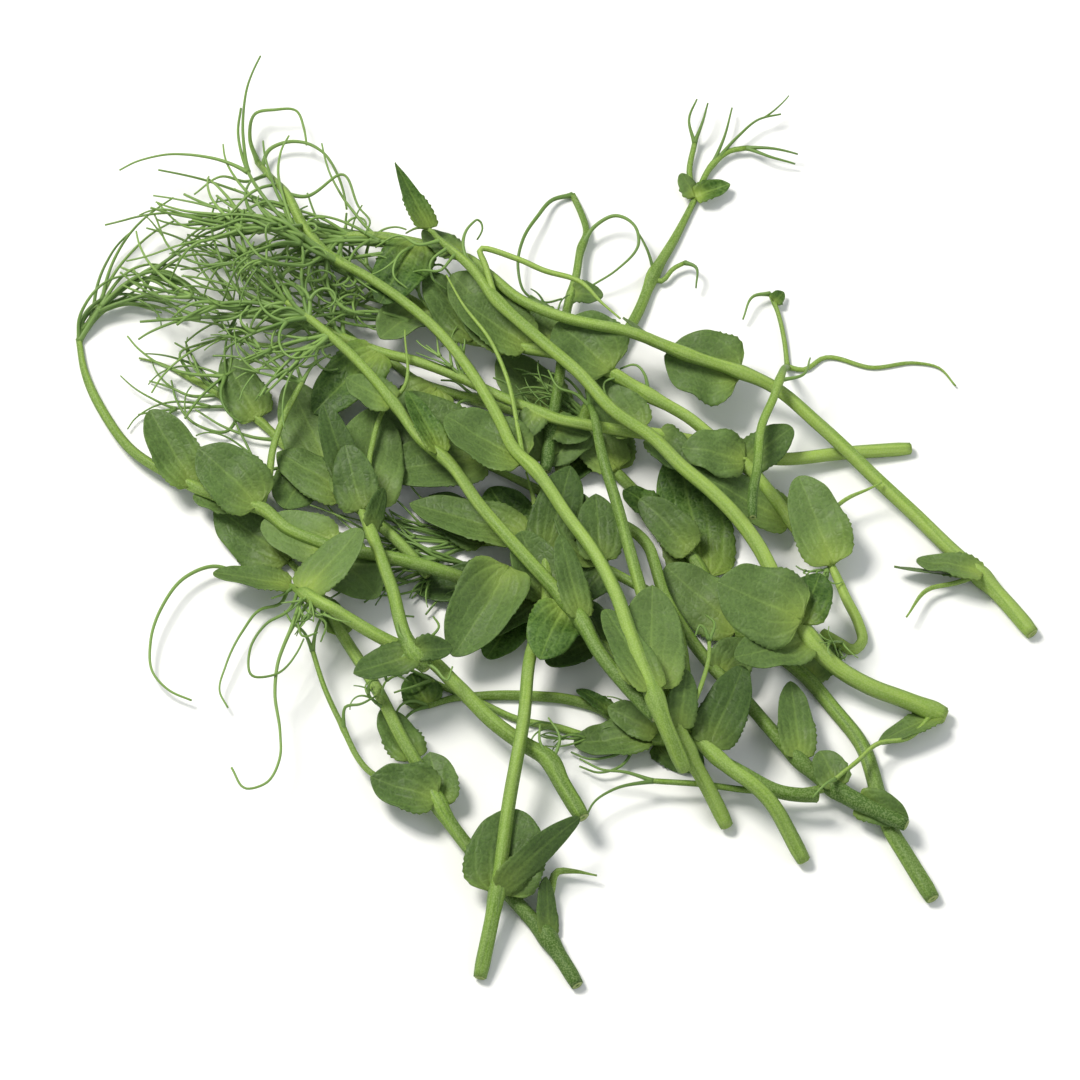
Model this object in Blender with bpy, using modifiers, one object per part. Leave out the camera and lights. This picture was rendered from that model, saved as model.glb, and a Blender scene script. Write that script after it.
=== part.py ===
"""Pea microgreens: a loose handful of cut pea shoots, lying as they were dropped.

Each shoot is one solid: its stem, the clasping leaf pairs (stipules) at its nodes, its leaf
stalks and their branched tendrils. The shoots are laid one after another. Each one rests on
the floor or on whatever lies below it, so none of them cross. The plan is in millimetres,
and the meshes are in metres.
"""
import math

import bmesh
import bpy
import numpy as np

for old in list(bpy.data.objects):
    bpy.data.objects.remove(old)

MM = 0.001

# The heap, in mm.
GAP = 0.45  # air kept between two shoots
FLOOR_SINK = 0.84  # how far up the centre of a stem on the floor is, as part of its radius
STEP = 1.0  # distance between the points that are laid
CELL = 0.5  # grid that remembers how high the heap is
SPAN = 260.0  # side of that grid
MARGIN = 0.36  # half a cell's diagonal, so that no shoot slips between cells
UNDER_ALL = -100.0  # lower than any need, where a cell is out of reach

# The leaves. ALONG, HALF and RIPPLE are read together: places along the blade, the outline's
# half width there and how far its edges wave there, as parts of its length and width.
BLADE = 0.65  # thickness, in mm
FOLD = 0.08  # how far the edges rise, as part of the width
DROOP = 0.05  # how far the tip hangs, as part of the length
LOBE = 0.25  # how far the base sweeps back round the stem, as part of the length
ALONG = (0, 0.13, 0.35, 0.62, 0.85, 1.0)
HALF = (0.13, 0.70, 1.0, 0.93, 0.62, 0.12)
RIPPLE = (0, 0.03, -0.02, 0.03, -0.02, 0)

# How a leaf comes to rest: the slopes that it may add to its wished ones, along and across,
# and what a roll, a lift of its root and a dip into the heap cost beside a pitch.
PITCHES = np.linspace(-1.0, 1.2, 23)
ROLLS = np.linspace(-1.0, 1.0, 21)
ROLL_COST = 0.7
LIFT_COST = 0.06
TOO_LOW_COST = 100.0
LEAF_ROOM = 0.6  # half the distance between the places that are tried on a blade, in mm

# The strands by kind: how many sides the section has, the angle of its first corner, which
# puts a side at the bottom, and how far the drawn corners may stand off the smooth curve.
SECTION = {
    "stem": (6, 0, 0.24),
    "twig": (4, math.pi / 4, 0.25),
    "tendril": (3, math.pi / 2, 0.35),
}

# Stiffness by kind: the steepest climb where it grows out, how fast it sags between two
# supports (1/mm) and how many rounds of smoothing its bends get.
STIFF = {"stem": (0.5, 1 / 400, 8), "twig": (0.7, 1 / 250, 3), "tendril": (1.2, 1 / 60, 3)}
TIP_HANG = 6.0  # how far above its support a tip may stay level with its root, in mm
TAPER = 0.75  # a tendril's tip, as part of its root
PASSES = 3  # rounds of smoothing and lifting
LIFT_REACH = 4  # how many neighbours rise with a point that is lifted

WELD = 0.01  # how near points are made one, in mm
GREEN = (0.16, 0.34, 0.06)
ROUGH = 0.55

shoots = []


def grow(kind, start, end, rise, loft, route):
    """One strand of the newest shoot, drawn from its root to its tip as seen from above."""
    shoots[-1].append(
        {"kind": kind, "thick": (start, end), "rise": rise, "loft": loft, "route": route, "leaves": []}
    )


def stem(start, end, *route):
    """A new shoot's main stem, with its radius at the cut end and at the tip."""
    shoots.append([])
    grow("stem", start, end, 0, 0, route)


def twig(start, end, rise, *route):
    """A leaf stalk or a thick tendril. rise lifts its tip."""
    grow("twig", start, end, rise, 0, route)


def tendril(start, rise, loft, *route):
    """A thin tendril that tapers. loft arches its middle."""
    grow("tendril", start, start * TAPER, rise, loft, route)


def leaf(wide, pitch, roll, base, tip):
    """A leaf blade on the newest strand, with how it tips along and across, in degrees."""
    shoots[-1][-1]["leaves"].append((wide, pitch, roll, base, tip))


# The shoots from the bottom of the heap to the top. x runs right, y away, both from the middle
# of the heap. Radii come first, then the points that the strand passes through.

# shoot_01: dark and short, at the bottom of the heap in front.
stem(
    1.2, 0.8, (35, -35), (27, -40), (19.5, -42.5), (14, -40), (8.5, -36), (4, -34.5), (-5, -33.5),
    (-12, -33.5), (-17.5, -34), (-22, -35.5)
)
leaf(4, 5, 30, (11, -38), (4.5, -33))
leaf(7, 0, 0, (18.5, -43.5), (27, -48.5))
leaf(6, 0, 0, (25, -40.5), (30, -36))
twig(
    0.8, 0.55, 0, (16, -41.5), (7.5, -42), (1.5, -40), (-6.5, -38), (-13, -34.5), (-18.5, -32),
    (-21.5, -30.5)
)
tendril(0.36, 0, 1, (-21.5, -30.5), (-24.5, -29), (-28, -28.5), (-30.5, -29.5))
tendril(0.36, 1, 1, (-21.5, -30.5), (-24.5, -32.5), (-28, -33.5))
tendril(0.36, 2, 2, (-22, -35.5), (-25, -38), (-26.5, -41.5), (-25, -44), (-23, -42))
tendril(0.36, 1, 2, (-22, -35.5), (-24.5, -35.5), (-27, -37), (-28, -39.5))
tendril(0.36, 0, 1, (16, -43.5), (11, -46), (6.5, -46.5), (3.5, -45))
tendril(0.36, 0, 1, (16.5, -44), (12, -48.5), (8.5, -49.5), (5, -48))

# shoot_02: from the cut end nearest the front, away to the left.
stem(
    1.35, 1, (4.5, -91.5), (1.5, -86), (-1, -82), (-6.5, -75), (-13, -67), (-19, -58.5),
    (-22.5, -51.5), (-26.5, -44.5), (-31, -34), (-37, -22.5), (-43, -11), (-47, -6)
)
leaf(4.5, 15, 40, (-0.5, -83), (-1, -71.5))
leaf(9, 8, -8, (-20.5, -57), (-32, -52))
leaf(7.5, 6, -8, (-20, -57.5), (-21.5, -46.5))
leaf(11, 8, -10, (-47, -6), (-60.5, 4.5))
twig(0.8, 0.6, 1, (-1, -82), (0, -73), (1, -69.5), (4, -69.5), (8, -70.5))
twig(
    0.6, 0.45, 2, (-20.5, -56.5), (-27, -53.5), (-32, -50.5), (-37.5, -40.5), (-40.5, -33.5),
    (-42.5, -27)
)
tendril(0.36, 2, 2, (-42.5, -27), (-44, -24.5), (-46, -23), (-47.5, -20))
tendril(0.36, 3, 2, (-42.5, -27), (-42, -24.5), (-40.5, -20.5), (-41, -16.5))
tendril(0.36, 3, 2, (-37, -42), (-36.5, -39), (-34, -39), (-31, -37))

# shoot_03: long and dark, from the right front corner to the left, under the others.
stem(
    1.5, 0.8, (67, -74.5), (62.5, -66), (59.5, -60), (58, -54.5), (55, -43.5), (50, -36), (46, -30.5),
    (42, -26.5), (32.5, -19.5), (30, -16), (26.5, -7), (22, -0.5), (18, 5), (10.5, 14), (4.5, 20.5),
    (-4, 24.5), (-11, 27), (-18.5, 29.5), (-24.5, 32), (-29, 36), (-34, 39)
)
leaf(10.5, 10, -8, (31.5, -22.5), (20.5, -8.5))
leaf(5.5, 8, 10, (18.5, 3.5), (13, 8))
leaf(7, 5, 5, (8, 16.5), (1.5, 11))
tendril(0.36, 0, 1, (-34, 39), (-38.5, 40), (-42.5, 39.5), (-46, 37.5))
tendril(0.36, 1, 2, (-34, 39), (-37.5, 41.5), (-41, 42.5), (-45, 42.5))
tendril(0.36, 1, 1, (-29, 36), (-32, 33), (-36, 33), (-38.5, 35))
tendril(0.36, 1, 1, (-12, 27), (-15, 29), (-17.5, 31), (-20, 31.5))
tendril(0.36, 1, 1, (-13, 27.5), (-16, 27), (-18.5, 25), (-20.5, 26.5))
tendril(0.36, 1, 1, (-4, 24.5), (-7, 27.5), (-8, 30.5), (-10.5, 32))

# shoot_04: beside it, to two leaves in the middle.
stem(
    1.35, 0.9, (62.5, -61.5), (56, -58), (50, -54), (45, -49.5), (38.5, -41.5), (34, -35.5),
    (28, -28.5), (24, -22.5), (20, -14.5), (18.5, -8.5), (17.5, -5), (13, 0), (7.5, 1.5), (1.5, 6),
    (-5.5, 10.5), (-11.5, 14)
)
leaf(6, 0, 30, (54, -56.5), (63, -60.5))
leaf(6, 5, 0, (50, -54.5), (47.5, -47))
leaf(6.5, 8, 10, (44.5, -47.5), (42.5, -33))
leaf(12, 6, -6, (-11.5, 14), (-26.5, 22))
twig(0.7, 0.5, 0, (50, -54), (44, -54.5), (34, -54), (27, -53), (18, -52.5))
tendril(0.36, 0, 1, (18, -52.5), (13, -51), (9, -50.5), (5, -48))
tendril(0.36, 0, 1, (18, -52.5), (11, -54.5), (7.5, -57), (6, -60))

# shoot_05: bends round from the right, its fine tendrils fanned to the left.
stem(
    1.3, 0.7, (47, -56.5), (41, -56), (34, -52), (28, -47.5), (25.5, -41), (24, -34), (23, -26),
    (20.5, -18.5), (16, -14.5), (10, -10), (4.5, -7.5), (-1, -4.5), (-6.5, -2.5), (-12.5, -2)
)
leaf(9, 8, 5, (-12, -2), (-22, 7))
leaf(6, 0, 0, (9.5, -10), (5, -16))
tendril(0.36, 0, 1, (-12.5, -2), (-17.5, -0.5), (-22.5, 0.5), (-28, 2.5))
tendril(0.36, 0, 1, (-12.5, -2), (-18, -3), (-24.5, -4), (-31, -3.5), (-37, -4.5))
tendril(0.36, 0, 1, (-12.5, -2), (-18, -4), (-23.5, -7), (-31, -8), (-40, -9.5))
tendril(0.36, 1, 1, (-9, -2), (-14.5, 0.5), (-19, 3.5), (-24, 5))
tendril(0.36, 1, 1, (-6.5, -2.5), (-10.5, 0.5), (-13.5, 2), (-17.5, 1.5))

# shoot_06: from the right front, with a second fan of fine tendrils.
stem(
    1.45, 0.7, (44.5, -67), (38.5, -58.5), (31.5, -52.5), (26.5, -47.5), (19.5, -38.5), (13.5, -29.5),
    (7.5, -23.5), (1.5, -17.5), (-5.5, -12.5), (-11, -8.5), (-15.5, -6.5)
)
leaf(8.5, 5, 5, (29, -48), (34, -32.5))
leaf(6, 8, 5, (9.5, -25.5), (5.5, -16.5))
leaf(7, 0, 0, (7.5, -24), (-1, -28))
leaf(8, 3, 0, (-8.5, -11), (-24.5, -12))
tendril(0.36, 0, 1, (-15.5, -6.5), (-20, -6.5), (-24.5, -4), (-29, -2))
tendril(0.36, 0, 1, (-15.5, -6.5), (-22, -8), (-28, -10.5), (-34.5, -11.5), (-40, -15.5))
tendril(0.36, 0, 1, (-15.5, -6.5), (-20, -10), (-25.5, -12.5), (-31.5, -13))
tendril(0.36, 0, 1, (-11, -8.5), (-15.5, -11.5), (-20, -14), (-22.5, -17))

# shoot_07: stands out to the back, with a forked tip.
stem(1.15, 0.85, (1.5, 11.5), (6, 22), (9.5, 33), (16, 46.5), (19, 55), (22.5, 62), (26.5, 71))
leaf(8, 5, 8, (6, 22), (0, 11.5))
leaf(4, 20, 20, (26.5, 70.5), (24, 75.5))
leaf(4, 10, 0, (26.5, 71), (33, 73.5))
twig(0.6, 0.5, 1, (26.5, 71), (25.5, 76.5), (26.5, 82.5))
tendril(0.36, 1, 1, (26.5, 82.5), (25.5, 86.5), (27, 91.5))
tendril(0.36, 2, 1, (26.5, 82.5), (28, 86), (29, 90))
twig(0.6, 0.5, 1, (26.5, 71), (30, 78.5), (33, 81), (36, 81.5))
tendril(0.36, 1, 1, (30, 78.5), (32, 83.5), (33.5, 90))
tendril(0.36, 2, 1, (30, 78.5), (34.5, 83.5), (38.5, 87), (42.5, 88))
tendril(0.36, 1, 1, (36, 81.5), (41, 80.5), (45.5, 79.5))
tendril(0.36, 0, 1, (36, 81.5), (40.5, 79), (45, 78))
twig(0.5, 0.4, 1, (18.5, 54), (20, 53), (22.5, 55.5), (24.5, 56.5))
tendril(0.36, 0, 1, (24.5, 56.5), (26.5, 55), (26.5, 51))
tendril(0.36, 1, 1, (18.5, 55.5), (18, 58), (16, 63))
tendril(0.36, 1, 1, (6.5, 23.5), (3.5, 26), (0, 28.5), (-2.5, 30))
tendril(0.36, 0, 1, (6.5, 23.5), (2.5, 24), (-1, 26.5), (-5, 28))
tendril(0.36, 2, 1, (7, 24), (5, 27.5), (2.5, 30), (0, 31))
tendril(0.36, 0, 1, (6, 22), (1.5, 22), (-2.5, 24), (-6.5, 29.5))

# shoot_08: beside it, with two big curls.
stem(
    1.1, 0.6, (-1, 10), (0, 18.5), (1.5, 28.5), (3, 45.5), (4.5, 52.5), (5.5, 59.5), (6.5, 63),
    (5.5, 68), (4, 72)
)
leaf(6, 8, 0, (-0.5, 13), (-4, 20))
leaf(6, 8, 0, (0, 18.5), (7, 16.5))
leaf(4.5, 10, 0, (4, 49), (9.5, 48))
tendril(0.42, 1, 3, (5.5, 60.5), (8, 63.5), (11.5, 65), (15.5, 61.5), (16, 58), (12, 53.5), (7.5, 51))
tendril(
    0.42, 1, 3, (4, 71.5), (0.5, 70.5), (-2.5, 66), (-5, 61), (-6, 54.5), (-4.5, 49.5), (-1, 48),
    (2, 49)
)

# shoot_09: from the far right across to the left, its tendrils spread wide.
stem(
    1.25, 0.85, (65, 17.5), (53, 16), (40.5, 14), (34, 14.5), (25.5, 16.5), (18.5, 17), (8.5, 17.5),
    (1, 19), (-5, 22), (-10, 25), (-17, 29.5), (-24, 33), (-31, 35.5), (-38, 39), (-43.5, 42.5)
)
leaf(5, 5, 0, (-2, 20.5), (-6.5, 14.5))
leaf(7, 5, 0, (18.5, 17), (25, 9.5))
tendril(
    0.42, 1, 3, (-43.5, 42.5), (-49, 42.5), (-54, 43.5), (-59, 45), (-65.5, 47.5), (-71.5, 50.5),
    (-78.5, 53.5)
)
tendril(0.36, 0, 2, (-43.5, 42.5), (-49, 41), (-54, 40.5), (-60, 41.5), (-69, 43.5))
tendril(0.36, 3, 3, (-43.5, 42.5), (-47.5, 45), (-52, 46.5), (-56, 50.5), (-58.5, 55))
tendril(0.36, 1, 2, (-43.5, 42.5), (-47, 39.5), (-52, 36), (-55, 38), (-56.5, 42))
tendril(0.36, 2, 3, (-43.5, 42.5), (-48, 43.5), (-54, 45.5), (-59, 49), (-64, 54.5))
tendril(0.36, 0, 1, (-38, 39), (-41.5, 36.5), (-47, 36), (-52, 33.5))

# shoot_10: over it, with a big leaf over the middle.
stem(
    1.2, 0.85, (48.5, -6), (43, 1.5), (40, 5.5), (35, 11), (30, 15), (24.5, 20), (17.5, 24.5),
    (10.5, 29), (3.5, 31.5), (-3, 34), (-8.5, 36), (-16, 38.5), (-21, 44), (-25.5, 48), (-31, 52),
    (-36, 55)
)
leaf(13, 10, -5, (11, 28.5), (1, 38.5))
leaf(7, 8, 10, (35, 11), (43.5, 18))
leaf(9, 8, -5, (32.5, 9), (23.5, 12.5))
leaf(9, 8, 8, (29.5, -8.5), (23.5, 8.5))
leaf(10, 10, 5, (-4, 33.5), (-17, 44))
tendril(0.36, 2, 3, (-36, 55), (-40.5, 55), (-45, 56.5), (-48, 60), (-52, 62.5))
tendril(0.36, 1, 2, (-36, 55), (-40, 52), (-45, 49.5), (-49.5, 50.5), (-53.5, 55.5))
tendril(0.36, 3, 3, (-36, 55), (-38, 58), (-42, 57.5), (-46.5, 56.5), (-50.5, 53))
tendril(0.36, 1, 1, (-31, 52), (-36, 50.5), (-39.5, 47.5), (-43.5, 46.5))
tendril(0.36, 2, 1, (16, 25.5), (13, 27.5), (9.5, 26.5), (10, 24))
tendril(0.36, 2, 2, (17.5, 24.5), (17, 27.5), (15, 30), (12.5, 30))
tendril(0.36, 2, 3, (-21, 44), (-24, 47), (-23.5, 50.5), (-20, 53), (-18, 51))

# shoot_11: thin, out to the left, with a small leaf and curls.
stem(
    1.1, 0.5, (-22, -10.5), (-28, -3.5), (-34.5, 3.5), (-42, 10.5), (-49, 19), (-53, 23.5), (-60, 29),
    (-67, 33.5), (-71.5, 36), (-75, 37)
)
leaf(8, 12, -8, (-52, 24.5), (-59, 35))
tendril(0.36, 1, 2, (-61, 29), (-63.5, 32), (-65.5, 36.5), (-68.5, 39.5))
tendril(0.36, 2, 2, (-65, 32), (-67.5, 36), (-64, 38.5))
tendril(0.36, 0, 1, (-60, 28.5), (-65.5, 28.5), (-69.5, 30.5), (-73, 32))
tendril(0.36, 0, 2, (-56, 26), (-59, 20.5), (-64.5, 22), (-68, 27.5), (-69, 32))
tendril(0.36, 0, 1, (-49, 19), (-54, 19.5), (-59, 21.5), (-64.5, 25.5))
tendril(0.36, 1, 2, (-45, 14.5), (-52, 12), (-55.5, 18), (-58, 24))

# shoot_12: arches to the far left and hooks back over.
stem(
    1.25, 0.8, (-13, -12.5), (-22, -10.5), (-32.5, -7.5), (-37.5, -6.5), (-42, -4.5),
    (-47, -2), (-52, 2.5), (-57.5, 4), (-63, 7), (-68.5, 10.5), (-75.5, 16), (-81, 24.5), (-85, 34.5),
    (-86, 40.5)
)
leaf(11, 12, -8, (-52, 3), (-63.5, 13.5))
leaf(8.5, 14, -5, (-64, 8.5), (-72.5, 22))
leaf(5, 0, 0, (-58.5, -2.5), (-64.5, 6))
twig(0.8, 0.5, 4, (-52, 2.5), (-51, 7.5), (-50, 14.5), (-48, 20.5), (-45, 26.5))
tendril(0.36, 2, 1, (-45, 26.5), (-43, 30), (-40, 33))
tendril(0.36, 2, 1, (-45, 26.5), (-46, 30.5), (-45, 34.5))
tendril(0.42, 1, 2, (-86, 40.5), (-85.5, 44), (-83, 47), (-77.5, 47.5), (-72, 47), (-67.5, 45))
tendril(0.42, 2, 3, (-86, 40.5), (-85, 45), (-81, 48), (-76, 48.5), (-70.5, 47.5))
tendril(0.36, 3, 3, (-86, 40.5), (-86, 43.5), (-84, 47), (-80.5, 50), (-75.5, 51.5))
tendril(0.36, 0, 1, (-85.5, 42), (-82.5, 45.5), (-77, 47.5), (-71, 46))

# shoot_13: thick, from the front to the left, its tendrils hang in long hooks.
stem(
    1.55, 1.05, (5.5, -61), (2, -54.5), (-0.5, -49.5), (-5, -46.5), (-9.5, -43), (-17, -35),
    (-22, -30), (-28, -27.5), (-35.5, -23.5), (-42, -19.5), (-47, -11.5)
)
leaf(8, 8, 35, (-46.5, -12.5), (-60.5, -11))
tendril(
    0.45, 0, 3, (-47, -11.5), (-55, -9.5), (-60.5, -8), (-65.5, -10.5), (-69.5, -16.5), (-71.5, -23.5),
    (-71, -29.5), (-68, -33), (-64, -35)
)
tendril(
    0.36, 0, 3, (-47, -11.5), (-48.5, -15.5), (-52, -17), (-55, -21.5), (-58, -28.5), (-59, -33.5),
    (-57.5, -36.5)
)
tendril(
    0.36, 1, 2, (-45, -15.5), (-47, -22), (-51, -24.5), (-53.5, -29), (-53, -34), (-49, -33.5),
    (-45, -28.5), (-44, -26)
)
tendril(
    0.42, 0, 2, (-44.5, -17.5), (-46, -24.5), (-48.5, -31), (-49, -36.5), (-48, -44), (-48, -49),
    (-50.5, -54), (-54, -55), (-56.5, -51)
)
tendril(0.36, 1, 1, (-45, -15.5), (-43, -22), (-40, -24), (-41, -26.5))
tendril(0.36, 1, 1, (-44, -17.5), (-42, -20.5), (-44, -23.5), (-46, -23))
tendril(0.36, 1, 1, (-43.5, -19), (-45, -24), (-44, -27), (-41.5, -26))
tendril(0.36, 1, 1, (-46, -13), (-48, -15.5), (-50, -16))
tendril(0.36, 2, 1, (0, -50), (-2, -47), (-2, -43.5))
tendril(0.36, 1, 1, (0, -50), (1.5, -46), (-0.5, -41.5))

# shoot_14: long, from the right to the tangle at the back left.
stem(
    1.45, 0.8, (86, -21), (82, -15.5), (77, -9.5), (72, -4.5), (65.5, 2.5), (59, 9), (48.5, 19.5),
    (39.5, 27), (33, 29.5), (27, 31), (16, 34.5), (0.5, 39), (-6, 43), (-11, 48.5), (-15.5, 53),
    (-19.5, 54.5), (-24.5, 57), (-31.5, 59), (-37, 59.5), (-41.5, 58)
)
leaf(6, 10, 20, (78, -9), (65.5, -7))
leaf(4, 0, 50, (77, -10.5), (61.5, -8))
leaf(14, 4, -6, (33.5, 29), (20.5, 33))
leaf(4, 5, 50, (24, 33.5), (13, 39))
twig(0.5, 0.35, 1, (76, -9.5), (72.5, -11), (67.5, -12.5), (63.5, -18.5))
tendril(0.36, 0, 3, (-41.5, 58), (-46, 58), (-52, 55.5), (-57, 48), (-58, 44.5))
tendril(0.36, 1, 3, (-37, 59.5), (-43, 59.5), (-47.5, 55.5), (-51, 48), (-50, 43))
tendril(0.36, 0, 2, (-41.5, 58), (-47.5, 55), (-54, 51.5), (-60.5, 54), (-66.5, 59.5))
tendril(0.36, 1, 2, (-31.5, 59), (-36, 54.5), (-37, 50), (-34, 46.5))
tendril(0.36, 1, 2, (-24.5, 57), (-28, 52.5), (-28.5, 48.5), (-26, 46.5))
tendril(0.36, 1, 3, (-41.5, 58), (-47, 60.5), (-53.5, 61.5), (-58.5, 60.5), (-62.5, 57))
tendril(0.36, 0, 2, (-41.5, 58), (-45, 55), (-50.5, 53), (-56, 53.5), (-62, 51.5), (-67.5, 52.5))
tendril(0.36, 2, 3, (-37, 59.5), (-41.5, 62), (-47, 63.5), (-52, 64.5), (-58, 68.5))
tendril(0.36, 1, 3, (-41.5, 58), (-44, 51), (-48, 44.5), (-47, 40), (-42, 39))
tendril(0.36, 0, 2, (-37, 59.5), (-40, 56), (-40, 50.5), (-37, 47.5))

# shoot_15: straight back from the front right.
stem(
    1.4, 0.9, (31, -60), (27, -54), (23.5, -49), (21.5, -42.5), (19, -32), (17, -21.5), (14.5, -11),
    (12, -0.5), (9, 11), (7, 22)
)
leaf(5.5, 10, 20, (23, -46.5), (24, -35))
twig(0.5, 0.35, 1, (23.5, -47.5), (25, -41.5), (26.5, -37.5), (28, -31), (28, -28.5))
tendril(0.36, 1, 1, (28, -28.5), (26.5, -26), (25.5, -28))
tendril(0.36, 1, 1, (28, -28.5), (29, -25), (27.5, -22))
tendril(0.36, 1, 1, (7, 22), (4.5, 24), (1.5, 25), (-0.5, 29))
tendril(0.36, 1, 1, (7, 22), (6.5, 24.5), (4.5, 28))

# shoot_16: short, with narrow leaves, from the middle of the front to the left.
stem(1.3, 0.95, (-22, -33.5), (-24.5, -30.5), (-28.5, -16.5), (-33, -2), (-35.5, 5.5))
leaf(7, 8, 8, (-24.5, -32), (-35, -35.5))
leaf(4.5, 0, 20, (-24, -31), (-17.5, -30))
leaf(8, 14, -15, (-34.5, 0.5), (-37, 13))
leaf(4, 5, 45, (-32, -4), (-30, 4.5))
leaf(6, 20, 0, (-35.5, 5.5), (-41, 21))
twig(0.55, 0.35, 3, (-35.5, 5.5), (-33.5, 8), (-32.5, 14), (-29.5, 23.5), (-27, 26), (-26.5, 38))
tendril(0.36, 2, 2, (-24.5, -30.5), (-27, -27.5), (-26.5, -23), (-24.5, -21.5))
tendril(0.36, 2, 2, (-24.5, -30.5), (-21.5, -28), (-20, -25.5), (-21, -21.5))
tendril(0.36, 1, 1, (-23.5, -32), (-20.5, -34.5), (-18.5, -37), (-17.5, -34))
tendril(0.36, 1, 2, (-24.5, -30), (-27, -32.5), (-28, -34), (-25.5, -34))

# shoot_17: straight back from the front, with two big leaves near its cut end.
stem(
    1.35, 0.95, (-12.5, -90), (-9.5, -75), (-7.5, -59), (-5, -44), (-3.5, -28), (-1, -19), (-1, -8),
    (-2.5, 2), (-4.5, 11)
)
leaf(14, 5, 8, (-9.5, -75.5), (-6, -59.5))
leaf(5.5, 10, 45, (-9, -75.5), (5, -63))
leaf(9, 10, 8, (-0.5, -7), (3.5, 10))

# shoot_18: thick and long, right across, to a pointed leaf at the back.
stem(
    1.6, 0.9, (70, -38), (63, -35.5), (56.5, -33.5), (49.5, -29.5), (44.5, -23.5), (40.5, -15),
    (37, -7.5), (34, -3), (29, 2.5), (23.5, 7.5), (18.5, 13), (11, 18.5), (5.5, 25.5), (-2, 33.5),
    (-10.5, 43), (-15, 50), (-20, 55), (-24.5, 59.5), (-26.5, 61.5)
)
leaf(14.5, 14, -10, (49, -20.5), (29.5, -17.5))
leaf(9, -5, -10, (46, -26), (32.5, -31.5))
leaf(6, 10, 25, (-26, 53.5), (-28.5, 70.5))
leaf(6, 5, 30, (69, -38.5), (58, -44))
twig(
    0.6, 0.45, 0, (-10.5, 43), (-12, 49.5), (-13, 52.5), (-6, 50.5), (-1.5, 48), (5.5, 45), (9, 40.5),
    (12.5, 36.5)
)
tendril(0.36, 2, 2, (-15, 50), (-16, 54), (-15, 58), (-13, 60.5), (-12.5, 59), (-13.5, 57.5))
twig(0.5, 0.4, 0, (68, -39), (63, -43.5), (58, -45), (54, -49.5), (50, -53.5))
tendril(0.36, 0, 1, (50, -53.5), (48, -56), (46, -58))
tendril(0.36, 1, 2, (-20, 55), (-24, 53.5), (-28, 56.5), (-32, 56.5))
tendril(0.36, 1, 2, (-19, 54), (-22, 50), (-21.5, 48), (-18.5, 47))
tendril(0.36, 2, 3, (-17, 52), (-20.5, 48), (-23.5, 49.5), (-25.5, 50.5))

# shoot_19: bright, from the middle of the front to the tangle.
stem(
    1.45, 0.8, (18.5, -45), (13, -37.5), (8.5, -30.5), (5, -23), (1.5, -18), (-5, -9.5), (-12.5, 0.5),
    (-20, 11.5), (-22.5, 13.5), (-28, 21.5), (-35, 30.5), (-40.5, 36), (-44, 39), (-48, 42)
)
leaf(9.5, 2, -5, (2.5, -19.5), (-2, -31.5))
leaf(5.5, 10, 15, (4.5, -24), (1.5, -7.5))
leaf(5, 5, 20, (-20, 11.5), (-26, 24.5))
leaf(7, 8, 10, (-28.5, 22), (-37, 27))
tendril(0.36, 2, 3, (-48, 42), (-52, 44), (-55, 48), (-54, 53.5))
tendril(0.36, 0, 2, (-44, 39), (-47.5, 40.5), (-52, 39), (-56.5, 36))
tendril(0.36, 3, 3, (-48, 42), (-51, 46.5), (-51.5, 51), (-49, 55.5))
tendril(0.36, 1, 2, (-48, 42), (-54, 45), (-60.5, 45.5), (-67, 50.5))
tendril(0.36, 0, 2, (-48, 42), (-53.5, 43), (-56.5, 40), (-60.5, 40), (-64, 44))
tendril(0.36, 2, 3, (-48, 42), (-50.5, 46), (-56, 48.5), (-62.5, 49), (-68.5, 53), (-72.5, 63))
tendril(0.36, 1, 2, (-44, 39), (-49, 38), (-50.5, 34), (-47.5, 31))
tendril(0.36, 0, 2, (-48, 42), (-52, 41), (-54.5, 37.5), (-53, 34))

# shoot_20: bright, over all the others, to two loops at the back left.
stem(
    1.45, 0.7, (23.5, -54), (20, -48), (17, -39), (14, -29), (11.5, -20), (7.5, -10.5), (3, -3),
    (-2.5, 6.5), (-7, 12), (-9, 17), (-15, 29), (-20.5, 37), (-27, 43.5), (-33.5, 48.5), (-40.5, 53),
    (-45, 58.5), (-48.5, 66.5), (-54, 79)
)
leaf(7, -12, 12, (16.5, -42.5), (9.5, -23))
leaf(12, -14, 6, (18, -40.5), (18, -17.5))
leaf(12.5, 5, 14, (-6, 8.5), (-19, 18))
twig(0.45, 0.32, 1, (-5, 10), (-6, 16), (-8, 26.5), (-11, 34), (-16, 41.5), (-19, 47.5))
tendril(
    0.42, 2, 4, (-54, 79), (-55.5, 83), (-54.5, 87.5), (-51, 88), (-47, 88), (-45.5, 84.5),
    (-45, 81.5)
)
tendril(
    0.42, 0, 3, (-53, 77), (-52, 80.5), (-48.5, 82), (-45, 81.5), (-42, 79.5), (-39.5, 75.5),
    (-38, 71), (-37.5, 68)
)
tendril(0.36, 0, 2, (-48.5, 66.5), (-45, 65.5), (-38, 70), (-35, 63), (-33, 60), (-34, 57.5))
tendril(0.36, 0, 2, (-52, 74), (-56, 72), (-60.5, 73), (-65.5, 70))
tendril(0.36, 0, 2, (-49.5, 69.5), (-55, 65), (-59, 61), (-65, 59.5))
tendril(0.36, 1, 3, (-45, 58.5), (-50, 53.5), (-56, 57), (-61, 56.5), (-66, 58), (-72, 66))
tendril(0.36, 1, 2, (-45, 58.5), (-50.5, 62), (-57, 65.5), (-62.5, 66))
tendril(0.36, 2, 3, (-40.5, 53), (-46, 52.5), (-52, 48.5), (-57.5, 47), (-56.5, 44))
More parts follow.
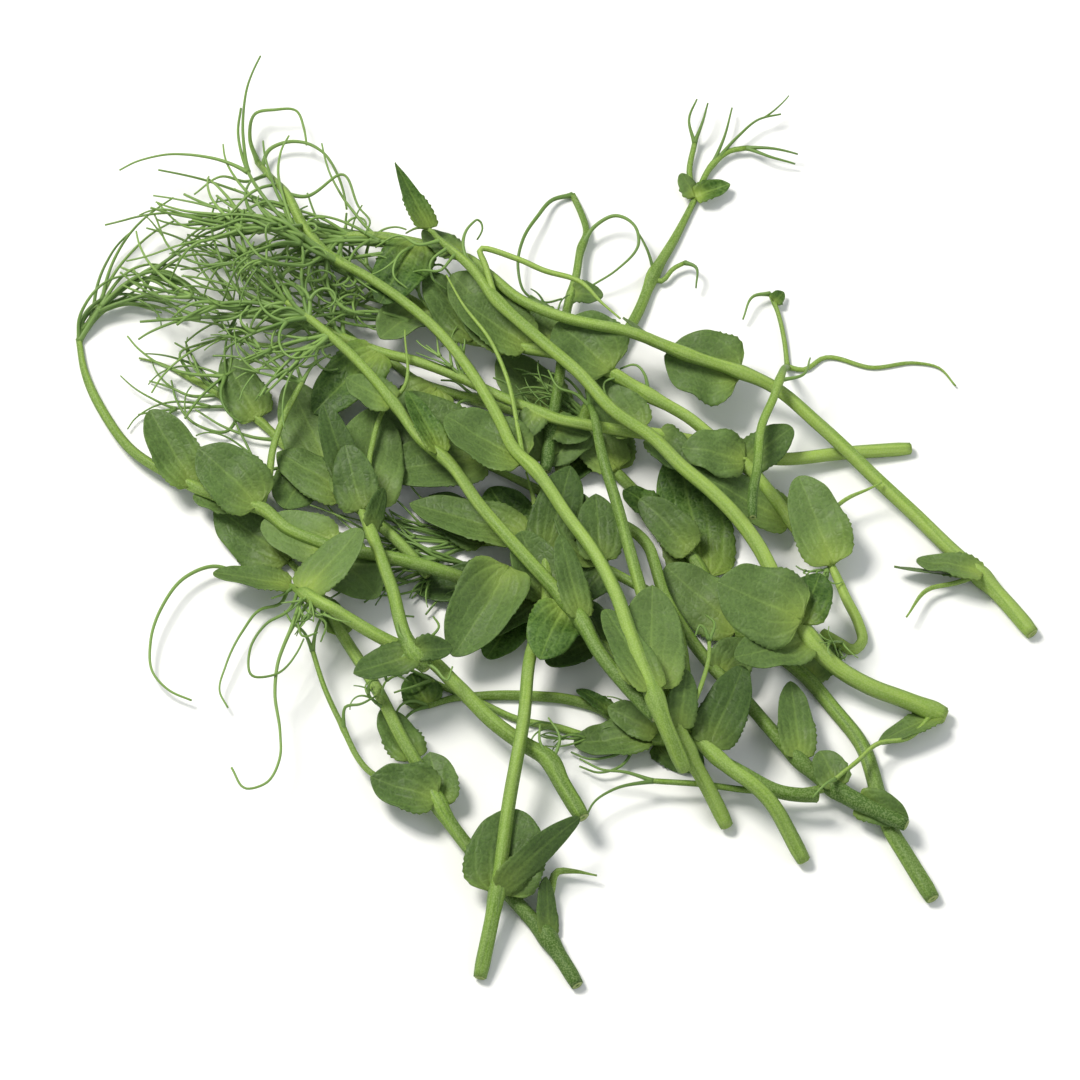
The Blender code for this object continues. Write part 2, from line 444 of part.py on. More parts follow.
tendril(0.36, 1, 2, (-47, 62), (-52, 63.5), (-56.5, 61), (-60.5, 57), (-65.5, 56.5))
tendril(0.36, 2, 3, (-40.5, 53), (-45, 47.5), (-52, 46.5), (-56, 52.5), (-59, 64.5))

# shoot_21: thin, lying on top on the right, with a long bent tendril.
stem(0.9, 0.7, (36, -3.5), (36, 0.5), (37, 7.5), (38, 17), (40.5, 23.5), (43, 35))
twig(0.45, 0.4, 1, (43, 35), (42.5, 40.5), (41, 47.5), (40, 50))
leaf(2.5, 0, 30, (40.5, 48), (42.5, 50.5))
tendril(0.36, 0, 1, (40, 50), (37, 49), (35, 44.5))
twig(0.45, 0.32, 0, (43, 35), (46, 34.5), (49.5, 37), (58.5, 35), (66.5, 36), (70.5, 35), (73.5, 31))
tendril(0.36, 0, 1, (41.5, 25.5), (45.5, 28), (47, 33.5))

# shoot_22: a short hooked piece with one leaf, on the right.
stem(
    1.05, 0.85, (48.5, -20.7), (51.5, -23), (54, -24.5), (55.5, -23), (55, -19.5), (53, -15),
    (50.5, -9), (48.5, -5)
)
leaf(10, 12, -8, (48.5, -9), (44.5, 8.5))
twig(0.45, 0.35, 1, (48.5, -5), (49.5, 1), (53, 4.5), (57.5, 6.5), (59.5, 7.5))


class Heap:
    """How high the heap is, cell by cell."""

    def __init__(self):
        self.half = int(SPAN / CELL) // 2
        self.top = np.full((2 * self.half, 2 * self.half), -GAP)

    def around(self, xy, radius, flat):
        """The cells under each point, and how far a ball, or a flat disc, stands out over them."""
        reach = radius + MARGIN
        home = np.floor(xy / CELL).astype(int)
        wide = int(math.ceil(np.max(reach) / CELL)) + 1
        for i in range(-wide, wide + 1):
            for j in range(-wide, wide + 1):
                cell = home + (i, j)
                off = np.hypot(*((cell + 0.5) * CELL - xy).T)
                ball = np.minimum(np.sqrt(np.maximum(reach**2 - off**2, 0)), radius)
                cell = cell + self.half
                yield cell[:, 0], cell[:, 1], np.where(off < reach, radius if flat else ball, UNDER_ALL)

    def clear(self, xy, radius, flat=False):
        """The height at which each point clears the heap."""
        need = np.full(len(xy), UNDER_ALL)
        for i, j, out in self.around(xy, radius, flat):
            need = np.maximum(need, self.top[i, j] + out)
        return need + GAP

    def add(self, xyz, radius, flat=False):
        for i, j, out in self.around(xyz[:, :2], radius, flat):
            np.maximum.at(self.top, (i, j), xyz[:, 2] + out)


def spread(route):
    """A smooth curve through the route, as points STEP apart, and the distance along it."""
    p = np.array(route, float)
    gap = np.hypot(*np.diff(p, axis=0).T)
    way = np.diff(p, axis=0) / gap[:, None]
    near = (gap[:-1] / (gap[:-1] + gap[1:]))[:, None]
    turn = np.concatenate([way[:1], way[:-1] * (1 - near) + way[1:] * near, way[-1:]])
    u = np.linspace(0, 1, 13)[:, None]
    curve = [
        (2 * u**3 - 3 * u**2 + 1) * p[i]
        + (u**3 - 2 * u**2 + u) * gap[i] * turn[i]
        + (3 * u**2 - 2 * u**3) * p[i + 1]
        + (u**3 - u**2) * gap[i] * turn[i + 1]
        for i in range(len(gap))
    ]
    curve = np.concatenate([c[:-1] for c in curve] + [p[-1:]])
    far = np.concatenate([[0], np.cumsum(np.hypot(*np.diff(curve, axis=0).T))])
    s = np.linspace(0, far[-1], max(3, int(round(far[-1] / STEP)) + 1))
    return np.column_stack([np.interp(s, far, c) for c in curve.T]), s


def drape(s, need, sag, start):
    """The lowest line over need that bends upward no faster than sag, like a stem over its supports."""
    low = need - 0.5 * sag * s**2
    if start is not None:
        low[0] = start
    held = [0]
    for i in range(1, len(s)):
        while len(held) > 1:
            a, b = held[-2:]
            if (low[b] - low[a]) * (s[i] - s[b]) > (low[i] - low[b]) * (s[b] - s[a]):
                break
            held.pop()
        held.append(i)
    return np.interp(s, s[held], low[held]) + 0.5 * sag * s**2


def soften(z, need, rounds, start):
    """Rounds the line's corners and lifts it where that took it too low. A given start stays."""
    first = 0 if start is None else 1
    for _ in range(PASSES):
        for _ in range(rounds):
            z[1:-1] = 0.25 * z[:-2] + 0.5 * z[1:-1] + 0.25 * z[2:]
        short = np.maximum(need - z, 0)
        short[:first] = 0
        lift = short.copy()
        for k in range(1, LIFT_REACH + 1):
            lift[k:] = np.maximum(lift[k:], short[:-k])
            lift[:-k] = np.maximum(lift[:-k], short[k:])
        lift[:first] = 0
        z = z + lift
    return z


class Leaf:
    """A blade that grows from a point of a strand and tips until it clears the heap."""

    def __init__(self, wide, pitch, roll, root, tip):
        way = np.array(tip, float) - root
        self.root = root
        self.length = float(np.hypot(*way))
        self.along = way / self.length
        self.across = np.array([-self.along[1], self.along[0]])
        self.wide = wide * math.cos(math.radians(roll))
        self.tilt = math.tan(math.radians(pitch)), math.tan(math.radians(roll))

    def flat(self, t, w):
        """The blade before it is tipped: along, across and up, at t of its length and w of its half width."""
        v = w * np.interp(t, ALONG, HALF) * self.wide / 2
        side = np.abs(v) / (self.wide / 2)
        u = self.length * (t - LOBE * (1 - t) ** 2 * side**2)
        wave = np.interp(t, ALONG, RIPPLE) * np.where(w < 0, -1, 1)
        return u, v, (FOLD + wave) * self.wide * side - DROOP * self.length * t**2

    def place(self, u, v):
        """Where that much along and across is, seen from above."""
        return self.root + u[..., None] * self.along + v[..., None] * self.across

    def sheet(self, t, w):
        """The blade's middle surface where it lies."""
        u, v, h = self.flat(*np.meshgrid(t, w, indexing="ij"))
        z = self.z + h + self.pitch * u + self.roll * v
        return np.concatenate([self.place(u, v), z[..., None]], axis=-1)

    def ways(self, heap):
        """Each way to tip the blade, the height its root then needs and how far it is from the wish."""
        u, v, h = self.flat(*np.meshgrid(np.linspace(0, 1, 15), np.linspace(-1, 1, 10), indexing="ij"))
        room = np.full(u.size, LEAF_ROOM)
        need = heap.clear(self.place(u, v).reshape(-1, 2), room, flat=True) - LEAF_ROOM
        a, b = np.meshgrid(self.tilt[0] + PITCHES, self.tilt[1] + ROLLS, indexing="ij")
        tipped = need - h.ravel() - a[..., None] * u.ravel() - b[..., None] * v.ravel()
        lift = np.max(tipped, axis=-1) + 0.5 * BLADE * np.sqrt(1 + a**2 + b**2)
        cost = (a - self.tilt[0]) ** 2 + ROLL_COST * (b - self.tilt[1]) ** 2
        return a.ravel(), b.ravel(), lift.ravel(), cost.ravel()

    def needs(self, heap, stem_needs):
        """The height of its root that suits the blade best."""
        _, _, lift, cost = self.ways(heap)
        return lift[np.argmin(cost + LIFT_COST * np.maximum(lift - stem_needs, 0))]

    def settle(self, heap, z):
        """Tips the blade as little as its root's height allows."""
        a, b, lift, cost = self.ways(heap)
        best = np.argmin(cost + TOO_LOW_COST * np.maximum(lift - z, 0))
        self.z, self.pitch, self.roll = z, a[best], b[best]

    def add_to(self, heap):
        t = np.linspace(0, 1, int(self.length / CELL) + 2)
        w = np.linspace(-1, 1, int(self.wide / CELL) + 2)
        points = self.sheet(t, w).reshape(-1, 3)
        half = 0.5 * BLADE * math.sqrt(1 + self.pitch**2 + self.roll**2)
        heap.add(points, np.full(len(points), half), flat=True)


class Strand:
    """A stem, twig or tendril, with what grows from it."""

    def __init__(self, plan, parent, heap):
        route = [np.array(p, float) for p in plan["route"]]
        self.kind = plan["kind"]
        if parent is not None:
            self.root = parent.nearest(route[0])
            route[0] = parent.xy[self.root]
        self.xy, self.s = spread(route)
        self.radius = np.linspace(*plan["thick"], len(self.s))
        self.rise, self.loft = plan["rise"], plan["loft"]
        self.twigs = []
        self.leaves = []
        for wide, pitch, roll, base, tip in plan["leaves"]:
            at = self.nearest(base)
            self.leaves.append((at, Leaf(wide, pitch, roll, self.xy[at], tip)))
        need = heap.clear(self.xy, self.radius)
        self.need = np.where(need < self.radius + 1e-6, FLOOR_SINK * self.radius, need)

    def off(self, point):
        return np.hypot(*(self.xy - np.array(point, float)).T)

    def nearest(self, point):
        return int(np.argmin(self.off(point)))

    def needs(self, heap):
        """What the strand and all that grows from it need of the height of its root."""
        for at, blade in self.leaves:
            self.need[at] = max(self.need[at], blade.needs(heap, self.need[at]))
        for child in self.twigs:
            self.need[child.root] = max(self.need[child.root], child.needs(heap))
        return float(np.max(self.need - STIFF[self.kind][0] * self.s))

    def settle(self, heap, start=None):
        """Lays the strand over what it needs, from its root's height if it grows from another strand."""
        need = self.need.copy()
        if start is not None:
            need[-1] = max(need[-1], min(start, need[-1] + TIP_HANG) + self.rise)
        _, sag, rounds = STIFF[self.kind]
        self.z = soften(drape(self.s, need, sag, start), need, rounds, start)
        self.z += self.loft * np.sin(np.pi * self.s / self.s[-1])
        for at, blade in self.leaves:
            blade.settle(heap, self.z[at])
        for child in self.twigs:
            child.settle(heap, self.z[child.root])

    def add_to(self, heap):
        s = np.linspace(0, self.s[-1], 2 * len(self.s))
        points = np.column_stack([np.interp(s, self.s, c) for c in (*self.xy.T, self.z)])
        heap.add(points, np.interp(s, self.s, self.radius))
        for _, blade in self.leaves:
            blade.add_to(heap)


def lay(plans, heap):
    """Lays one shoot on the heap and gives back its strands. Each grows from the nearest one before it."""
    strands = []
    for plan in plans:
        parent = min(strands, key=lambda s: float(np.min(s.off(plan["route"][0]))), default=None)
        strands.append(Strand(plan, parent, heap))
        if parent is not None:
            parent.twigs.append(strands[-1])
    strands[0].needs(heap)
    strands[0].settle(heap)
    for strand in strands:
        strand.add_to(heap)
    return strands


def fewer(line, straight):
    """The points of a line that it can't do without to stay that close to its shape."""
    if len(line) < 3:
        return list(range(len(line)))
    way = line[-1] - line[0]
    way = way / np.linalg.norm(way)
    from_start = line - line[0]
    off = np.linalg.norm(from_start - (from_start @ way)[:, None] * way, axis=1)
    worst = int(np.argmax(off))
    if off[worst] < straight:
        return [0, len(line) - 1]
    rest = [worst + k for k in fewer(line[worst:], straight)]
    return fewer(line[: worst + 1], straight) + rest[1:]


def section(kind):
    """The outline that a strand's curve carries along, with a radius of 1 before it is scaled."""
    sides, first, _ = SECTION[kind]
    curve = bpy.data.curves.new(kind + "_section", "CURVE")
    corners = curve.splines.new("POLY")
    corners.points.add(sides - 1)
    corners.use_cyclic_u = True
    for n, corner in enumerate(corners.points):
        angle = first + 2 * math.pi * n / sides
        corner.co = (math.cos(angle), math.sin(angle), 0, 1)
    return bpy.data.objects.new(kind + "_section", curve)


def vine(strand, name, collection):
    """A strand as a curve that carries its section level from root to tip, with filled ends."""
    line = np.column_stack([strand.xy, strand.z])
    keep = fewer(line, SECTION[strand.kind][2])
    curve = bpy.data.curves.new(name, "CURVE")
    curve.dimensions = "3D"
    curve.twist_mode = "Z_UP"
    curve.bevel_mode = "OBJECT"
    curve.bevel_object = sections[strand.kind]
    curve.use_fill_caps = True
    path = curve.splines.new("POLY")
    path.points.add(len(keep) - 1)
    for point, k in zip(path.points, keep):
        point.co = (*line[k] * MM, 1)
        point.radius = strand.radius[k] * MM
    made = bpy.data.objects.new(name, curve)
    collection.objects.link(made)
    return made


def plate(blade, name, collection):
    """A leaf as a folded sheet, split into triangles before Solidify so that both faces match."""
    middle = blade.sheet(np.array(ALONG, float), np.array((-1.0, 0.0, 1.0)))
    bm = bmesh.new()
    bmesh.ops.create_grid(bm, x_segments=2, y_segments=len(ALONG) - 1, size=1)
    for vertex, place in zip(bm.verts, middle.reshape(-1, 3)):
        vertex.co = place * MM
    bmesh.ops.triangulate(bm, faces=bm.faces)
    mesh = bpy.data.meshes.new(name)
    bm.to_mesh(mesh)
    bm.free()
    made = bpy.data.objects.new(name, mesh)
    collection.objects.link(made)
    thick = made.modifiers.new("thickness", "SOLIDIFY")
    thick.thickness = BLADE * MM
    thick.offset = 0
    return made


def solid(source, graph, collection):
    """What a curve or a modifier makes, as a closed mesh with its ends welded, in place of the source."""
    mesh = bpy.data.meshes.new_from_object(source.evaluated_get(graph))
    bm = bmesh.new()
    bm.from_mesh(mesh)
    bmesh.ops.remove_doubles(bm, verts=bm.verts, dist=WELD * MM)
    bmesh.ops.recalc_face_normals(bm, faces=bm.faces)
    bm.to_mesh(mesh)
    bm.free()
    made = bpy.data.objects.new(source.name, mesh)
    collection.objects.link(made)
    bpy.data.objects.remove(source)
    return made


def unite(body, others):
    """One Boolean union of a body with a collection of others, which go."""
    if others.objects:
        join = body.modifiers.new("join", "BOOLEAN")
        join.operation = "UNION"
        join.operand_type = "COLLECTION"
        join.collection = others
        join.solver = "MANIFOLD"
        graph = bpy.context.evaluated_depsgraph_get()
        mesh = bpy.data.meshes.new_from_object(body.evaluated_get(graph))
        body.modifiers.clear()
        body.data = mesh
    for other in list(others.objects):
        bpy.data.objects.remove(other)


def green(name, shade):
    """Fresh green, darker for the shoots at the bottom of the heap."""
    material = bpy.data.materials.new(name)
    material.use_nodes = True
    skin = material.node_tree.nodes["Principled BSDF"]
    skin.inputs["Base Color"].default_value = (*(shade * channel for channel in GREEN), 1)
    skin.inputs["Roughness"].default_value = ROUGH
    return material


handful = bpy.data.collections.new("pea_microgreens")
drawn = bpy.data.collections.new("drawn")
pieces = bpy.data.collections.new("pieces")
for collection in (handful, drawn, pieces):
    bpy.context.scene.collection.children.link(collection)
sections = {kind: section(kind) for kind in SECTION}
heap = Heap()

for number, plans in enumerate(shoots, 1):
    name = f"shoot_{number:02d}"
    strands = lay(plans, heap)
    for strand in strands:
        vine(strand, name + "_strand", drawn)
    for strand in strands:
        for _, blade in strand.leaves:
            plate(blade, name + "_leaf", drawn)
    graph = bpy.context.evaluated_depsgraph_get()
    solids = [solid(source, graph, pieces) for source in list(drawn.objects)]
    body = solids[0]
    body.name = name
    pieces.objects.unlink(body)
    handful.objects.link(body)
    unite(body, pieces)
    for vertex in body.data.vertices:
        vertex.co.z = max(vertex.co.z, 0)
    body.data.materials.clear()
    body.data.materials.append(green(name, 0.5 + 0.5 * number / len(shoots)))

for outline in sections.values():
    bpy.data.objects.remove(outline)
for collection in (drawn, pieces):
    bpy.data.collections.remove(collection)
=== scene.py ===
# %% [markdown]
# # A handful of pea microgreens
#
# Pea microgreens are pea seedlings that are cut when they are about as long as a hand. Each
# shoot has a juicy ridged stem. At its nodes, pairs of broad leaves clasp the stem, and its
# leaf stalks end in tendrils, which curl round whatever they touch. That is why a handful
# of them holds together.
#
# This lesson dresses a plain solid model of such a handful. The solids give the size and
# the place of every shoot. Each shoot here gets up to three pieces: its stems, its leaves and
# its tendrils. They are finer than the solids and follow them closely.

# %% The frame
import math

import bmesh
import bpy
import numpy as np
from mathutils import Matrix, Vector


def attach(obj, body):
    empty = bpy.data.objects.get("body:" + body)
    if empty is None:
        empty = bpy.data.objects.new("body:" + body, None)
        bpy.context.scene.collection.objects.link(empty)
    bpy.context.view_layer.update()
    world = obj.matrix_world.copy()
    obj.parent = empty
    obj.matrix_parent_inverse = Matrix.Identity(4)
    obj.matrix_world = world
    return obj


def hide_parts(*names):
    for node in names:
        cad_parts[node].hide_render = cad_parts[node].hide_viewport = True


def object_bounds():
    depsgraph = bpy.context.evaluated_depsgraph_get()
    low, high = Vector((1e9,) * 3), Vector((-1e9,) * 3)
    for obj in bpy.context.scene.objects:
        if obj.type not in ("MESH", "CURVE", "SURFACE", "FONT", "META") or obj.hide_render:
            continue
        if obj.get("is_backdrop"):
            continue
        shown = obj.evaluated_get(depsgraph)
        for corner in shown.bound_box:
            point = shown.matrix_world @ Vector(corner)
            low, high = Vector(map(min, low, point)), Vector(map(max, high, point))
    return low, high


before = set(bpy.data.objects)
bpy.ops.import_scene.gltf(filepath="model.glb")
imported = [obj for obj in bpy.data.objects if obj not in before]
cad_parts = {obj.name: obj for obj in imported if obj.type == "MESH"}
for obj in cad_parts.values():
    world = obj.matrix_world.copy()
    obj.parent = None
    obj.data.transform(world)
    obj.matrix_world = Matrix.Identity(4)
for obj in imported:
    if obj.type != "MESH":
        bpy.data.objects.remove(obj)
cad_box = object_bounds()
MM = 0.001
print("the solids:", len(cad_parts), "shoots,", [round((h - l) / MM, 1) for l, h in zip(*cad_box)], "mm")

# %% [markdown]
# ## The camera
#
# The shoots lie on a table and the picture is taken from above, about 60 degrees over the
# table. A long lens from far away keeps shoots that lie nearer from looking larger. The
# distance follows from the width that the picture should take in.

# %% The camera
PIXEL_MM = 0.18  # what one pixel of the picture covers, in mm
PICTURE_PIXELS = 1080
ELEVATION = 60.0  # degrees over the table
LENS_MM = 300.0
SENSOR_MM = 36.0
AIM = Vector((-2.0, -1.0, 0.0)) * MM

distance = PIXEL_MM * PICTURE_PIXELS * MM * LENS_MM / SENSOR_MM
tilt = math.radians(90 - ELEVATION)
bpy.ops.object.camera_add(
    location=AIM + Vector((0, -math.sin(tilt), math.cos(tilt))) * distance, rotation=(tilt, 0, 0)
)
camera = bpy.context.object
camera.data.lens = LENS_MM
camera.data.sensor_width = SENSOR_MM
bpy.context.scene.camera = camera
print("the camera is", round(distance, 2), "m away")

# %% [markdown]
# ## The table and the light
#
# A plain pale table and soft light show the greens as they are. A lamp at the upper left is
# the main light, a larger and weaker one on the right fills in, and a pale sky keeps the
# gaps inside the heap from going black. The Standard view keeps the colours as saturated as
# fresh leaves are.

# %% The table and the light
TABLE_SIZE = 6.0  # m
TABLE_DROP = 0.05  # mm below the underside of the solids, so that faces don't flicker
TABLE_ROUGHNESS = 0.85
TABLE_COLOR = (0.86, 0.86, 0.85, 1)
SKY_COLOR = (0.93, 0.97, 1.0, 1)
SKY_STRENGTH = 0.47
LAMPS = {
    # name: (place in m, size in m, power in W, colour)
    "main_lamp": ((-0.55, 0.35, 1.0), 0.4, 15.5, (1.0, 0.97, 0.91)),
    "fill_lamp": ((0.9, -0.5, 0.8), 0.9, 3.5, (0.94, 0.97, 1.0)),
}

bpy.ops.mesh.primitive_plane_add(size=TABLE_SIZE, location=(0, 0, -TABLE_DROP * MM))
table = bpy.context.object
table.name = "table"
paint = bpy.data.materials.new("table_paint")
paint.use_nodes = True
paint_inputs = paint.node_tree.nodes["Principled BSDF"].inputs
paint_inputs["Base Color"].default_value = TABLE_COLOR
paint_inputs["Roughness"].default_value = TABLE_ROUGHNESS
table.data.materials.append(paint)
table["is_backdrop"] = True

sky = bpy.data.worlds.new("sky")
bpy.context.scene.world = sky
sky.use_nodes = True
background = sky.node_tree.nodes.get("Background") or sky.node_tree.nodes.new("ShaderNodeBackground")
background.inputs["Color"].default_value = SKY_COLOR
background.inputs["Strength"].default_value = SKY_STRENGTH
world_output = sky.node_tree.nodes.get("World Output") or sky.node_tree.nodes.new("ShaderNodeOutputWorld")
sky.node_tree.links.new(background.outputs[0], world_output.inputs["Surface"])

for lamp_name, (place, size, power, color) in LAMPS.items():
    bpy.ops.object.light_add(type="AREA", location=place)
    lamp = bpy.context.object
    lamp.name = lamp_name
    lamp.rotation_euler = (-Vector(place)).to_track_quat("-Z", "Y").to_euler()
    lamp.data.size = size
    lamp.data.energy = power
    lamp.data.color = color

bpy.context.scene.view_settings.view_transform = "Standard"
print("the lamps:", ", ".join(LAMPS))

# %% [markdown]
# ## Where each shoot lies
#
# The solids were laid out from a plan: for each stem, stalk and tendril the points that it
# passes through as seen from above, in mm, with its thickness, and for each leaf the points
# of its base and tip. The same plan is used here, so the fine pieces land on the solids.
# Four small functions write it down, one for each kind of part.

# %% The words of the plan
THIN = 0.36  # the radius of most tendrils at their root, in mm
TAPER = 0.75  # a tendril's tip, as part of its root
shoots = []


def grow(kind, start, end, rise, loft, route):
    """One strand of the newest shoot, drawn from its root to its tip as seen from above."""
    shoots[-1].append(
        {"kind": kind, "thick": (start, end), "rise": rise, "loft": loft, "route": route, "leaves": []}
    )


def stem(start, end, *route):
    """A new shoot's main stem, with its radius at the cut end and at the tip."""
    shoots.append([])
    grow("stem", start, end, 0, 0, route)


def twig(start, end, rise, *route):
    """A leaf stalk or a thick tendril. rise lifts its tip."""
    grow("twig", start, end, rise, 0, route)


def tendril(rise, loft, *route, start=THIN):
    """A thin tendril that tapers. loft arches its middle."""
    grow("tendril", start, start * TAPER, rise, loft, route)


def leaf(wide, pitch, roll, base, tip):
    """A leaf blade on the newest strand, with how it tips along and across, in degrees."""
    shoots[-1][-1]["leaves"].append((wide, pitch, roll, base, tip))


# %% [markdown]
# ## The plan
#
# x runs right and y away, both from the middle of the heap. Radii come first, then how far
# a tip rises and a middle arches, then the points that the strand passes through. Most
# tendrils have the same radius, so only the others name it. The first shoots lie at the
# bottom.

# %% Shoots 1 to 4, at the bottom
# shoot_01: dark and short, at the bottom of the heap in front.
stem(
    1.2, 0.8, (35, -35), (27, -40), (19.5, -42.5), (14, -40), (8.5, -36), (4, -34.5), (-5, -33.5),
    (-12, -33.5), (-17.5, -34), (-22, -35.5)
)
leaf(4, 5, 30, (11, -38), (4.5, -33))
leaf(7, 0, 0, (18.5, -43.5), (27, -48.5))
leaf(6, 0, 0, (25, -40.5), (30, -36))
twig(
    0.8, 0.55, 0, (16, -41.5), (7.5, -42), (1.5, -40), (-6.5, -38), (-13, -34.5), (-18.5, -32),
    (-21.5, -30.5)
)
tendril(0, 1, (-21.5, -30.5), (-24.5, -29), (-28, -28.5), (-30.5, -29.5))
tendril(1, 1, (-21.5, -30.5), (-24.5, -32.5), (-28, -33.5))
tendril(2, 2, (-22, -35.5), (-25, -38), (-26.5, -41.5), (-25, -44), (-23, -42))
tendril(1, 2, (-22, -35.5), (-24.5, -35.5), (-27, -37), (-28, -39.5))
tendril(0, 1, (16, -43.5), (11, -46), (6.5, -46.5), (3.5, -45))
tendril(0, 1, (16.5, -44), (12, -48.5), (8.5, -49.5), (5, -48))

# shoot_02: from the cut end nearest the front, away to the left.
stem(
    1.35, 1, (4.5, -91.5), (1.5, -86), (-1, -82), (-6.5, -75), (-13, -67), (-19, -58.5), (-22.5, -51.5),
    (-26.5, -44.5), (-31, -34), (-37, -22.5), (-43, -11), (-47, -6)
)
leaf(4.5, 15, 40, (-0.5, -83), (-1, -71.5))
leaf(9, 8, -8, (-20.5, -57), (-32, -52))
leaf(7.5, 6, -8, (-20, -57.5), (-21.5, -46.5))
leaf(11, 8, -10, (-47, -6), (-60.5, 4.5))
twig(0.8, 0.6, 1, (-1, -82), (0, -73), (1, -69.5), (4, -69.5), (8, -70.5))
twig(0.6, 0.45, 2, (-20.5, -56.5), (-27, -53.5), (-32, -50.5), (-37.5, -40.5), (-40.5, -33.5), (-42.5, -27))
tendril(2, 2, (-42.5, -27), (-44, -24.5), (-46, -23), (-47.5, -20))
tendril(3, 2, (-42.5, -27), (-42, -24.5), (-40.5, -20.5), (-41, -16.5))
tendril(3, 2, (-37, -42), (-36.5, -39), (-34, -39), (-31, -37))

# shoot_03: long and dark, from the right front corner to the left, under the others.
stem(
    1.5, 0.8, (67, -74.5), (62.5, -66), (59.5, -60), (58, -54.5), (55, -43.5), (50, -36), (46, -30.5),
    (42, -26.5), (32.5, -19.5), (30, -16), (26.5, -7), (22, -0.5), (18, 5), (10.5, 14), (4.5, 20.5),
    (-4, 24.5), (-11, 27), (-18.5, 29.5), (-24.5, 32), (-29, 36), (-34, 39)
)
leaf(10.5, 10, -8, (31.5, -22.5), (20.5, -8.5))
leaf(5.5, 8, 10, (18.5, 3.5), (13, 8))
leaf(7, 5, 5, (8, 16.5), (1.5, 11))
tendril(0, 1, (-34, 39), (-38.5, 40), (-42.5, 39.5), (-46, 37.5))
tendril(1, 2, (-34, 39), (-37.5, 41.5), (-41, 42.5), (-45, 42.5))
tendril(1, 1, (-29, 36), (-32, 33), (-36, 33), (-38.5, 35))
tendril(1, 1, (-12, 27), (-15, 29), (-17.5, 31), (-20, 31.5))
tendril(1, 1, (-13, 27.5), (-16, 27), (-18.5, 25), (-20.5, 26.5))
tendril(1, 1, (-4, 24.5), (-7, 27.5), (-8, 30.5), (-10.5, 32))

# shoot_04: beside it, to two leaves in the middle.
stem(
    1.35, 0.9, (62.5, -61.5), (56, -58), (50, -54), (45, -49.5), (38.5, -41.5), (34, -35.5), (28, -28.5),
    (24, -22.5), (20, -14.5), (18.5, -8.5), (17.5, -5), (13, 0), (7.5, 1.5), (1.5, 6), (-5.5, 10.5),
    (-11.5, 14)
)
leaf(6, 0, 30, (54, -56.5), (63, -60.5))
leaf(6, 5, 0, (50, -54.5), (47.5, -47))
leaf(6.5, 8, 10, (44.5, -47.5), (42.5, -33))
leaf(12, 6, -6, (-11.5, 14), (-26.5, 22))
twig(0.7, 0.5, 0, (50, -54), (44, -54.5), (34, -54), (27, -53), (18, -52.5))
tendril(0, 1, (18, -52.5), (13, -51), (9, -50.5), (5, -48))
tendril(0, 1, (18, -52.5), (11, -54.5), (7.5, -57), (6, -60))
print("so far:", len(shoots), "shoots")

# %% Shoots 5 to 8, with fine tendrils
# shoot_05: bends round from the right, its fine tendrils fanned to the left.
stem(
    1.3, 0.7, (47, -56.5), (41, -56), (34, -52), (28, -47.5), (25.5, -41), (24, -34), (23, -26),
    (20.5, -18.5), (16, -14.5), (10, -10), (4.5, -7.5), (-1, -4.5), (-6.5, -2.5), (-12.5, -2)
)
leaf(9, 8, 5, (-12, -2), (-22, 7))
leaf(6, 0, 0, (9.5, -10), (5, -16))
tendril(0, 1, (-12.5, -2), (-17.5, -0.5), (-22.5, 0.5), (-28, 2.5))
tendril(0, 1, (-12.5, -2), (-18, -3), (-24.5, -4), (-31, -3.5), (-37, -4.5))
tendril(0, 1, (-12.5, -2), (-18, -4), (-23.5, -7), (-31, -8), (-40, -9.5))
tendril(1, 1, (-9, -2), (-14.5, 0.5), (-19, 3.5), (-24, 5))
tendril(1, 1, (-6.5, -2.5), (-10.5, 0.5), (-13.5, 2), (-17.5, 1.5))

# shoot_06: from the right front, with a second fan of fine tendrils.
stem(
    1.45, 0.7, (44.5, -67), (38.5, -58.5), (31.5, -52.5), (26.5, -47.5), (19.5, -38.5), (13.5, -29.5),
    (7.5, -23.5), (1.5, -17.5), (-5.5, -12.5), (-11, -8.5), (-15.5, -6.5)
)
leaf(8.5, 5, 5, (29, -48), (34, -32.5))
leaf(6, 8, 5, (9.5, -25.5), (5.5, -16.5))
leaf(7, 0, 0, (7.5, -24), (-1, -28))
leaf(8, 3, 0, (-8.5, -11), (-24.5, -12))
tendril(0, 1, (-15.5, -6.5), (-20, -6.5), (-24.5, -4), (-29, -2))
tendril(0, 1, (-15.5, -6.5), (-22, -8), (-28, -10.5), (-34.5, -11.5), (-40, -15.5))
tendril(0, 1, (-15.5, -6.5), (-20, -10), (-25.5, -12.5), (-31.5, -13))
tendril(0, 1, (-11, -8.5), (-15.5, -11.5), (-20, -14), (-22.5, -17))

# shoot_07: stands out to the back, with a forked tip.
stem(1.15, 0.85, (1.5, 11.5), (6, 22), (9.5, 33), (16, 46.5), (19, 55), (22.5, 62), (26.5, 71))
leaf(8, 5, 8, (6, 22), (0, 11.5))
leaf(4, 20, 20, (26.5, 70.5), (24, 75.5))
leaf(4, 10, 0, (26.5, 71), (33, 73.5))
twig(0.6, 0.5, 1, (26.5, 71), (25.5, 76.5), (26.5, 82.5))
tendril(1, 1, (26.5, 82.5), (25.5, 86.5), (27, 91.5))
tendril(2, 1, (26.5, 82.5), (28, 86), (29, 90))
twig(0.6, 0.5, 1, (26.5, 71), (30, 78.5), (33, 81), (36, 81.5))
tendril(1, 1, (30, 78.5), (32, 83.5), (33.5, 90))
tendril(2, 1, (30, 78.5), (34.5, 83.5), (38.5, 87), (42.5, 88))
tendril(1, 1, (36, 81.5), (41, 80.5), (45.5, 79.5))
